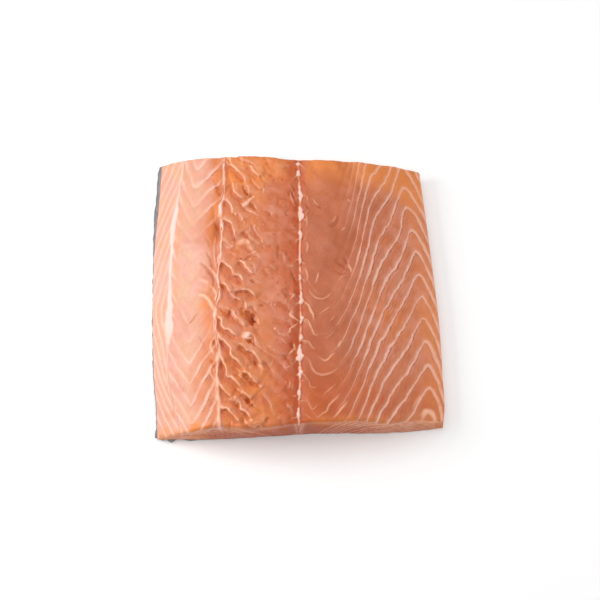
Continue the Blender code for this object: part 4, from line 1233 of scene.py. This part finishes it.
def skinPoints():
    columns = np.unique(np.concatenate([np.linspace(*part) for part in skinParts["columns"]]))
    start, end, count = skinParts["rows"]
    along = np.linspace(0, 1, count)[None, :]
    rows = start + (end - start) * along
    wave = 0.4 * waves(rows, skinParts["wavesAlong"])
    ragged = 0.28 * layers(rows, 0 * rows, 3.2, 121, 3)
    shown = np.maximum(through(skinParts["shows"], rows) + wave, skinParts["leastShown"]) + ragged
    back = lineAt("backEdge", rows) - shown
    belly = lineAt("bellyEdge", rows) - skinParts["bellyInset"] + wave + ragged
    x = back + (belly - back) * columns[:, None]
    ripple = waves(x, skinParts["wavesAcross"]) + 0.35 * layers(x, 0 * x, 3.0, 122, 3)
    tatter = sum(reach * hill(x - place, half) for place, reach, half in skinParts["tatters"])
    near = through(cuts["nearFoot"], x) + skinParts["nearInset"] + 0.5 * ripple - tatter
    far = through(cuts["farFoot"], x) + skinParts["farReach"] - ripple
    y = near + (far - near) * along
    thin = 1 - skinParts["thinEdge"] * np.exp(-(x - x[:1]) / 0.6)
    level = np.linspace(0, 1, 4)
    points = np.zeros(x.shape + (len(level), 3))
    points[..., 0] = x[..., None]
    points[..., 1] = y[..., None]
    points[..., 2] = skinLift(x, y)[..., None] + (skinParts["thickness"] * thin)[..., None] * level
    points[0, :, 1:3, 0] -= 0.15  # the back edge bulges a little
    inner = np.broadcast_to((0, 0.5, 0.5, 1.0), points.shape[:3])
    side = np.broadcast_to(columns[:, None, None], inner.shape)
    rim = np.broadcast_to(hill(x - x[:1], 0.5)[..., None], inner.shape)
    return points, {"inner": inner, "side": side, "rim": rim}


print("Working out the flesh")
fleshGrid, fleshFlat, fleshFields = fleshPoints()
low, high = [np.array(corner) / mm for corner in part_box("flesh")]
outline = fleshGrid.reshape(-1, 3)
shift = (low + high) / 2 - (outline.min(axis=0) + outline.max(axis=0)) / 2
shift[2] = 0.0  # the drawing and the frame stand on the same floor


def newMaterial(name):
    material = bpy.data.materials.new(name)
    material.use_nodes = True
    tree = material.node_tree
    return material, tree, tree.nodes["Principled BSDF"]


def plug(tree, socket, value):
    if isinstance(value, bpy.types.NodeSocket):
        tree.links.new(value, socket)
    elif value is not None:
        socket.default_value = value


def calc(tree, operation, first, second=None, third=None):
    made = tree.nodes.new("ShaderNodeMath")
    made.operation = operation
    for socket, value in zip(made.inputs, (first, second, third)):
        plug(tree, socket, value)
    return made.outputs[0]


def times(tree, value, *others):
    for other in others:
        value = calc(tree, "MULTIPLY", value, other)
    return value


def blendColour(tree, share, first, second, way="MIX"):
    made = tree.nodes.new("ShaderNodeMix")
    made.data_type = "RGBA"
    made.blend_type = way
    for socket, value in zip((made.inputs[0], made.inputs[6], made.inputs[7]), (share, first, second)):
        plug(tree, socket, (*value, 1) if isinstance(value, tuple) else value)
    return made.outputs[2]


def shaded(tree, colour, value):
    # the colour made darker or lighter by a grey value
    grey = tree.nodes.new("ShaderNodeCombineColor")
    for socket in grey.inputs:
        plug(tree, socket, value)
    return blendColour(tree, 1.0, colour, grey.outputs[0], "MULTIPLY")


def ramp(tree, value, start, end, low=0.0, high=1.0):
    made = tree.nodes.new("ShaderNodeMapRange")
    made.interpolation_type = "SMOOTHSTEP"
    for socket, item in zip(made.inputs, (value, start, end, low, high)):
        plug(tree, socket, item)
    return made.outputs[0]


def painted(tree, name):
    made = tree.nodes.new("ShaderNodeAttribute")
    made.attribute_name = name
    return made.outputs["Fac"]


def place(tree, stretch=(1, 1, 1), turn=0.0):
    # object coordinates in millimetres
    where = tree.nodes.new("ShaderNodeTexCoord")
    turned = tree.nodes.new("ShaderNodeMapping")
    turned.inputs["Rotation"].default_value = (0, 0, turn)
    sized = tree.nodes.new("ShaderNodeMapping")
    sized.inputs["Scale"].default_value = [item / mm for item in stretch]
    tree.links.new(where.outputs["Object"], turned.inputs["Vector"])
    tree.links.new(turned.outputs[0], sized.inputs["Vector"])
    return sized.outputs[0]


def noise(tree, vector, scale, detail=2.0, rough=0.5, distort=0.0):
    made = tree.nodes.new("ShaderNodeTexNoise")
    plug(tree, made.inputs["Vector"], vector)
    for name, value in (("Scale", scale), ("Detail", detail), ("Roughness", rough), ("Distortion", distort)):
        plug(tree, made.inputs[name], value)
    return made.outputs["Fac"]


def addBump(tree, shader, height, strength, distance):
    bump = tree.nodes.new("ShaderNodeBump")
    bump.inputs["Strength"].default_value = strength
    bump.inputs["Distance"].default_value = distance * mm
    plug(tree, bump.inputs["Height"], height)
    plug(tree, shader.inputs["Normal"], bump.outputs[0])


def newGroup(name, inputs, outputs):
    group = bpy.data.node_groups.new(name, "ShaderNodeTree")
    for label, kind, value in inputs:
        socket = group.interface.new_socket(label, in_out="INPUT", socket_type="NodeSocket" + kind)
        if value is not None:
            socket.default_value = value
    for label in outputs:
        group.interface.new_socket(label, in_out="OUTPUT", socket_type="NodeSocketFloat")
    return group, group.nodes.new("NodeGroupInput").outputs, group.nodes.new("NodeGroupOutput").inputs


def useGroup(tree, group, **values):
    made = tree.nodes.new("ShaderNodeGroup")
    made.node_tree = group
    for label, value in values.items():
        plug(tree, made.inputs[label], value)
    return made.outputs


def makeWetGrain():
    # fine grain, mottling and small specks that are painted wet glints, shared by the flesh and the skin
    inputs = (("Vector", "Vector", None), ("Fine", "Float", 1.0), ("Coarse", "Float", 0.2))
    group, given, made = newGroup("wetGrain", inputs, ("Grain", "Mottle", "SpecksAndGlints"))
    fine = noise(group, given["Vector"], given["Fine"], 3.0, 0.6)
    coarse = noise(group, given["Vector"], given["Coarse"], 2.0, 0.5, 0.4)
    specksAndGlints = noise(group, given["Vector"], times(group, given["Fine"], 0.7), 1.0, 0.5)
    group.links.new(fine, made["Grain"])
    group.links.new(coarse, made["Mottle"])
    group.links.new(ramp(group, specksAndGlints, 0.70, 0.79), made["SpecksAndGlints"])
    return group


fleshLook = {
    "flesh": (0.610, 0.170, 0.062),
    "orange": (0.790, 0.240, 0.058),
    "rust": (0.540, 0.096, 0.010),
    "pink": (0.680, 0.235, 0.135),
    "palePink": (0.742, 0.362, 0.282),
    "paleBeige": (0.718, 0.392, 0.250),
    "brick": (0.475, 0.116, 0.042),
    # painted shade, partly the deeper red of hollows, and below it the darkest painted shade
    "shadeAndDeepRed": (0.440, 0.084, 0.018),
    "darkShade": (0.290, 0.018, 0.003),
    "red": (0.530, 0.074, 0.006),
    "amber": (0.740, 0.212, 0.036),
    "wall": (0.830, 0.390, 0.262),
    "thickWall": (0.860, 0.490, 0.375),
    "warmWall": (0.890, 0.440, 0.285),
    # the colour of pale fat, which on the flake lips also stands for a painted highlight
    "lip": (0.930, 0.490, 0.310),
    "backWall": (0.880, 0.490, 0.370),
    # painted shadow along one side of each wall line
    "edge": (0.290, 0.058, 0.020),
    "membrane": (0.900, 0.610, 0.555),
    "cut": (0.430, 0.078, 0.032),
    "brown": (0.330, 0.110, 0.085),
    # how strongly each mask lays its colour over the ones before
    "under": (("red", 0.8), ("brick", 0.9), ("rust", 0.8)),
    "over": (("amber", 0.9), ("cut", 0.85), ("brown", 0.85)),
    # how strongly the painted shade in hollows is laid over
    "hollows": (("shadeAndDeepRed", 0.9), ("darkShade", 0.9)),
    "pale": 0.9,
    "wallCore": (0.35, 1.25),  # in half-widths, where a wall's line begins to fade and ends
    "wallShadow": (1.35, 0.6),  # the painted shadow at one side: place and half-width, in half-widths
    "wallShadowBy": (("pale", 0.1, 0.6, 0.95, 0.08), ("warm", 0.1, 0.5, 1.0, 0.35), ("face", 0.0, 1.0, 1.0, 1.5)),
    "wallHalo": (0.3, 2.6, 0.2),  # from and to in millimetres, and strength
    "wallRagged": (0.45, 0.16),  # noise scale and share of the pitch
    "fibreStretch": (1.5, 0.16, 0.5),
    "fibreTurn": 22.0,
    "grain": (1.6, 0.12),
    "subsurface": 0.16,
    "radius": (1.0, 0.38, 0.2),
    "roughness": (0.36, 0.56),
    "specular": (0.45, 0.08),  # of wet flesh, and of pits and cuts
    "bump": (0.5, 0.25),
}


def wallMasks(tree, where):
    # lines on the walls, a painted shadow at one side of them, and a halo round them
    scale, amount = fleshLook["wallRagged"]
    ragged = calc(tree, "MULTIPLY_ADD", noise(tree, where, scale, 4.0, 0.7), amount, -amount / 2)
    phase = calc(tree, "ADD", painted(tree, "septum"), ragged)
    gap = painted(tree, "gap")
    away = times(tree, calc(tree, "PINGPONG", phase, 0.5), gap)
    width = times(tree, painted(tree, "width"), ramp(tree, noise(tree, where, 0.16), 0.3, 0.7, 0.8, 1.15))
    core = ramp(tree, calc(tree, "DIVIDE", away, width), *fleshLook["wallCore"], 1.0, 0.0)
    side = calc(tree, "SUBTRACT", 0.5, calc(tree, "FRACT", calc(tree, "ADD", phase, 0.5)))
    shadowAt, edgeWidth = fleshLook["wallShadow"]
    edge = calc(tree, "SUBTRACT", calc(tree, "DIVIDE", times(tree, side, gap), width), shadowAt)
    edge = ramp(tree, calc(tree, "ABSOLUTE", edge), 0.0, edgeWidth, 1.0, 0.0)
    start, end, strength = fleshLook["wallHalo"]
    return core, edge, times(tree, ramp(tree, away, start, end, 1.0, 0.0), strength), width


def layOver(tree, colour, rows, masks):
    for name, strength in rows:
        colour = blendColour(tree, times(tree, masks[name], strength), colour, fleshLook[name])
    return colour


def makeFleshMaterial(grain):
    material, tree, shader = newMaterial("salmonFlesh")
    look = fleshLook
    where = place(tree)
    grainy = useGroup(tree, grain, Vector=where, Fine=look["grain"][0], Coarse=look["grain"][1])
    mask = {name: painted(tree, name) for name in (*masks, "cut", "brown", "face", "show")}
    core, edge, halo, width = wallMasks(tree, where)
    show = times(tree, mask["show"], ramp(tree, noise(tree, where, 0.22), 0.25, 0.55, 0.55, 1.0))
    lines = times(tree, core, show)

    # the flesh and its tones
    colour = blendColour(tree, ramp(tree, grainy["Mottle"], 0.35, 0.7), look["flesh"], look["pink"])
    colour = blendColour(tree, ramp(tree, mask["warm"], 0.0, 0.8), colour, look["orange"])
    colour = layOver(tree, colour, look["under"], mask)
    tint = ramp(tree, noise(tree, where, 0.085, 2.0, 0.6), 0.35, 0.65)
    pale = blendColour(tree, tint, look["palePink"], look["paleBeige"])
    # the back's paler flesh, and painted highlight behind the flake lips and on the tops of bumps
    colour = blendColour(tree, times(tree, mask["pale"], look["pale"]), colour, pale)
    colour = layOver(tree, colour, look["over"], mask)

    # fibres, strongest on the flank
    fibres = noise(tree, place(tree, look["fibreStretch"], math.radians(look["fibreTurn"])), 1.0, 3.0, 0.6)
    flecks = ramp(tree, noise(tree, where, 0.42, 3.0, 0.65), 0.35, 0.65, 0.97, 1.02)
    faint = times(tree, ramp(tree, fibres, 0.3, 0.7, 0.95, 1.04), flecks)
    strong = ramp(tree, fibres, 0.35, 0.65, 0.82, 1.12)
    more = times(tree, ramp(tree, mask["fibrous"], 0.1, 0.9), calc(tree, "SUBTRACT", strong, faint))
    colour = shaded(tree, colour, calc(tree, "ADD", faint, more))
    # painted shade in hollows, creases and grooves, partly deeper red
    colour = layOver(tree, colour, look["hollows"], mask)

    # the walls between the muscle blocks
    wall = blendColour(tree, ramp(tree, width, 0.4, 0.75), look["wall"], look["thickWall"])
    wall = blendColour(tree, ramp(tree, mask["warm"], 0.1, 0.6), wall, look["warmWall"])
    wall = blendColour(tree, ramp(tree, mask["pale"], 0.3, 0.8), wall, look["backWall"])
    colour = blendColour(tree, times(tree, halo, show), colour, wall)
    # painted shadow along one side of each wall line, stronger on the cut faces
    edge = times(tree, edge, show, ramp(tree, noise(tree, where, 0.4), 0.35, 0.6, 0.25, 1.0))
    for name, start, end, low, high in look["wallShadowBy"]:
        edge = times(tree, edge, ramp(tree, mask[name], start, end, low, high))
    colour = blendColour(tree, edge, colour, look["edge"])
    colour = blendColour(tree, times(tree, lines, ramp(tree, mask["cut"], 0.0, 1.0, 0.9, 0.55)), colour, wall)

    # fat, which on the flake lips and the far rim also stands for a painted highlight, pale specks that are
    # painted wet glints, and membrane
    fatAndHighlight = times(tree, ramp(tree, mask["fatAndHighlight"], 0.08, 0.85), 0.85)
    lip = blendColour(tree, ramp(tree, mask["pale"], 0.7, 0.9), look["lip"], look["backWall"])
    colour = blendColour(tree, fatAndHighlight, colour, lip)
    spots = times(tree, grainy["SpecksAndGlints"], ramp(tree, mask["show"], 0.0, 0.1, 0.4, 0.0))
    colour = blendColour(tree, spots, colour, look["wall"])
    membrane = times(tree, ramp(tree, mask["membrane"], 0.2, 0.9), 0.85)
    colour = blendColour(tree, membrane, colour, look["membrane"])
    plug(tree, shader.inputs["Base Color"], colour)

    shader.inputs["Subsurface Weight"].default_value = look["subsurface"]
    shader.inputs["Subsurface Radius"].default_value = look["radius"]
    shader.inputs["Subsurface Scale"].default_value = mm
    wet, matt = look["specular"]
    shader.inputs["Specular IOR Level"].default_value = wet
    plug(tree, shader.inputs["Specular IOR Level"],
         ramp(tree, calc(tree, "ADD", mask["darkShade"], mask["face"]), 0.0, 0.8, wet, matt))
    rough = ramp(tree, grainy["Grain"], 0.3, 0.7, *look["roughness"])
    plug(tree, shader.inputs["Roughness"], calc(tree, "ADD", rough, times(tree, lines, 0.08)))
    relief = calc(tree, "MULTIPLY_ADD", fibres, 0.25, times(tree, grainy["Grain"], 0.3))
    addBump(tree, shader, calc(tree, "ADD", relief, times(tree, lines, 0.35)), *look["bump"])
    return material


skinLook = {
    "back": (0.085, 0.095, 0.115),
    "silver": (0.420, 0.440, 0.460),
    "belly": (0.700, 0.690, 0.670),
    "spots": (0.030, 0.034, 0.042),
    "inner": (0.340, 0.330, 0.350),
    "rim": (0.040, 0.044, 0.055),
    "grain": (2.2, 0.10),
    "scaleSize": 2.6,
    "scaleStretch": (1.0, 0.72, 1.0),
    "scaleShade": (1.12, 0.72),  # in the middle of a scale, and at its rim
    "spotSize": 0.14,
    "roughness": (0.24, 0.42),
    "specular": 0.6,
    "bump": (0.6, 0.2),
}


def makeSkinMaterial(grain):
    material, tree, shader = newMaterial("salmonSkin")
    look = skinLook
    where = place(tree)
    grainy = useGroup(tree, grain, Vector=where, Fine=look["grain"][0], Coarse=look["grain"][1])
    scales = tree.nodes.new("ShaderNodeTexVoronoi")
    scales.feature = "SMOOTH_F1"
    scales.inputs["Scale"].default_value = 1 / look["scaleSize"]
    scales.inputs["Smoothness"].default_value = 0.2
    scales.inputs["Randomness"].default_value = 0.35
    plug(tree, scales.inputs["Vector"], place(tree, look["scaleStretch"]))
    side = painted(tree, "side")
    colour = blendColour(tree, ramp(tree, side, 0.04, 0.42), look["back"], look["silver"])
    colour = blendColour(tree, ramp(tree, side, 0.5, 0.95), colour, look["belly"])
    spots = ramp(tree, noise(tree, where, look["spotSize"], 1.0), 0.66, 0.70)
    spots = times(tree, spots, ramp(tree, side, 0.1, 0.5, 1.0, 0.0))
    colour = blendColour(tree, spots, colour, look["spots"])
    colour = shaded(tree, colour, ramp(tree, scales.outputs["Distance"], 0.1, 0.6, *look["scaleShade"]))
    # pale silver specks that are painted glints on the scales
    colour = blendColour(tree, times(tree, grainy["SpecksAndGlints"], 0.25), colour, look["silver"])
    inner = blendColour(tree, ramp(tree, grainy["Mottle"], 0.3, 0.7, 0.0, 0.5), look["inner"], look["back"])
    colour = blendColour(tree, ramp(tree, painted(tree, "inner"), 0.6, 0.95), colour, inner)
    colour = blendColour(tree, times(tree, painted(tree, "rim"), 0.9), colour, look["rim"])
    plug(tree, shader.inputs["Base Color"], colour)
    plug(tree, shader.inputs["Roughness"], ramp(tree, grainy["Grain"], 0.3, 0.7, *look["roughness"]))
    shader.inputs["Specular IOR Level"].default_value = look["specular"]
    height = calc(tree, "ADD", scales.outputs["Distance"], times(tree, grainy["Grain"], 0.2))
    addBump(tree, shader, height, *look["bump"])
    return material


studio = {
    "aim": (2.6, -4.5, 14.0),
    "distance": 740.0,
    "elevation": 72.0,
    "lens": 81.2,
    "sensor": 36.0,
    "floor": (0.90, 0.90, 0.90),
    "floorSize": 4000.0,
    "floorShade": 0.985,  # the floor's second, slightly darker tone
    "floorPatches": 0.004,
    "floorRoughness": 0.8,
    "floorGlow": 0.14,
    "world": 0.47,
    "lights": {
        "key": {"from": (-540, 60, 360), "size": 300, "power": 2.4},
        "top": {"from": (-60, 120, 700), "size": 700, "power": 1.6},
        "fill": {"from": (540, -60, 300), "size": 500, "power": 0.8},
    },
}


def atDrawing(point):
    return Vector([(item + move) * mm for item, move in zip(point, shift)])


def addLight(name, settings):
    light = bpy.data.lights.new(name, "AREA")
    light.size = settings["size"] * mm
    light.energy = settings["power"]
    lamp = bpy.data.objects.new(name, light)
    lamp.location = atDrawing(settings["from"])
    lamp.rotation_euler = (atDrawing(studio["aim"]) - lamp.location).to_track_quat("-Z", "Y").to_euler()
    bpy.context.scene.collection.objects.link(lamp)


def makeFloor():
    bpy.ops.mesh.primitive_plane_add(size=studio["floorSize"] * mm, location=(0, 0, 0))
    floor = bpy.context.object
    floor.name = "floor"
    material, tree, shader = newMaterial("paleFloor")
    shader.inputs["Roughness"].default_value = studio["floorRoughness"]
    shader.inputs["Emission Color"].default_value = (1, 1, 1, 1)
    shader.inputs["Emission Strength"].default_value = studio["floorGlow"]
    tone = ramp(tree, noise(tree, place(tree), studio["floorPatches"]), 0.3, 0.7)
    darker = tuple(studio["floorShade"] * channel for channel in studio["floor"])
    plug(tree, shader.inputs["Base Color"], blendColour(tree, tone, studio["floor"], darker))
    floor.data.materials.append(material)


def makeCamera():
    tilt = math.radians(studio["elevation"])
    data = bpy.data.cameras.new("camera")
    data.lens = studio["lens"]
    data.sensor_width = studio["sensor"]
    camera = bpy.data.objects.new("camera", data)
    out = Vector((0, -math.cos(tilt), math.sin(tilt)))
    camera.location = atDrawing(studio["aim"]) + out * studio["distance"] * mm
    camera.rotation_euler = (math.pi / 2 - tilt, 0, 0)
    bpy.context.scene.collection.objects.link(camera)
    bpy.context.scene.camera = camera


def makeStudio():
    scene = bpy.context.scene
    scene.view_settings.view_transform = "Standard"
    makeFloor()
    world = bpy.data.worlds.new("studio")
    world.use_nodes = True
    background = world.node_tree.nodes["Background"]
    background.inputs["Color"].default_value = (1, 1, 1, 1)
    background.inputs["Strength"].default_value = studio["world"]
    scene.world = world
    for name, settings in studio["lights"].items():
        addLight(name, settings)
    makeCamera()


print("Building the flesh")
flesh = closedMesh("salmon_flesh", fleshGrid + shift, fleshFlat, fleshFields)
print("Building the skin")
skinGrid, skinFields = skinPoints()
skin = closedMesh("salmon_skin", skinGrid + shift, None, skinFields)

print("Painting")
wetGrain = makeWetGrain()
flesh.data.materials.append(makeFleshMaterial(wetGrain))
skin.data.materials.append(makeSkinMaterial(wetGrain))
for piece, node, finish in ((flesh, "flesh", "flesh"), (skin, "skin", "skin")):
    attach(piece, "root")
    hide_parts(node)

print("Setting up the studio")
makeStudio()

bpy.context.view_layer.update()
for piece in (flesh, skin):
    print("Triangles of", piece.name, sum(len(face.vertices) - 2 for face in piece.data.polygons))
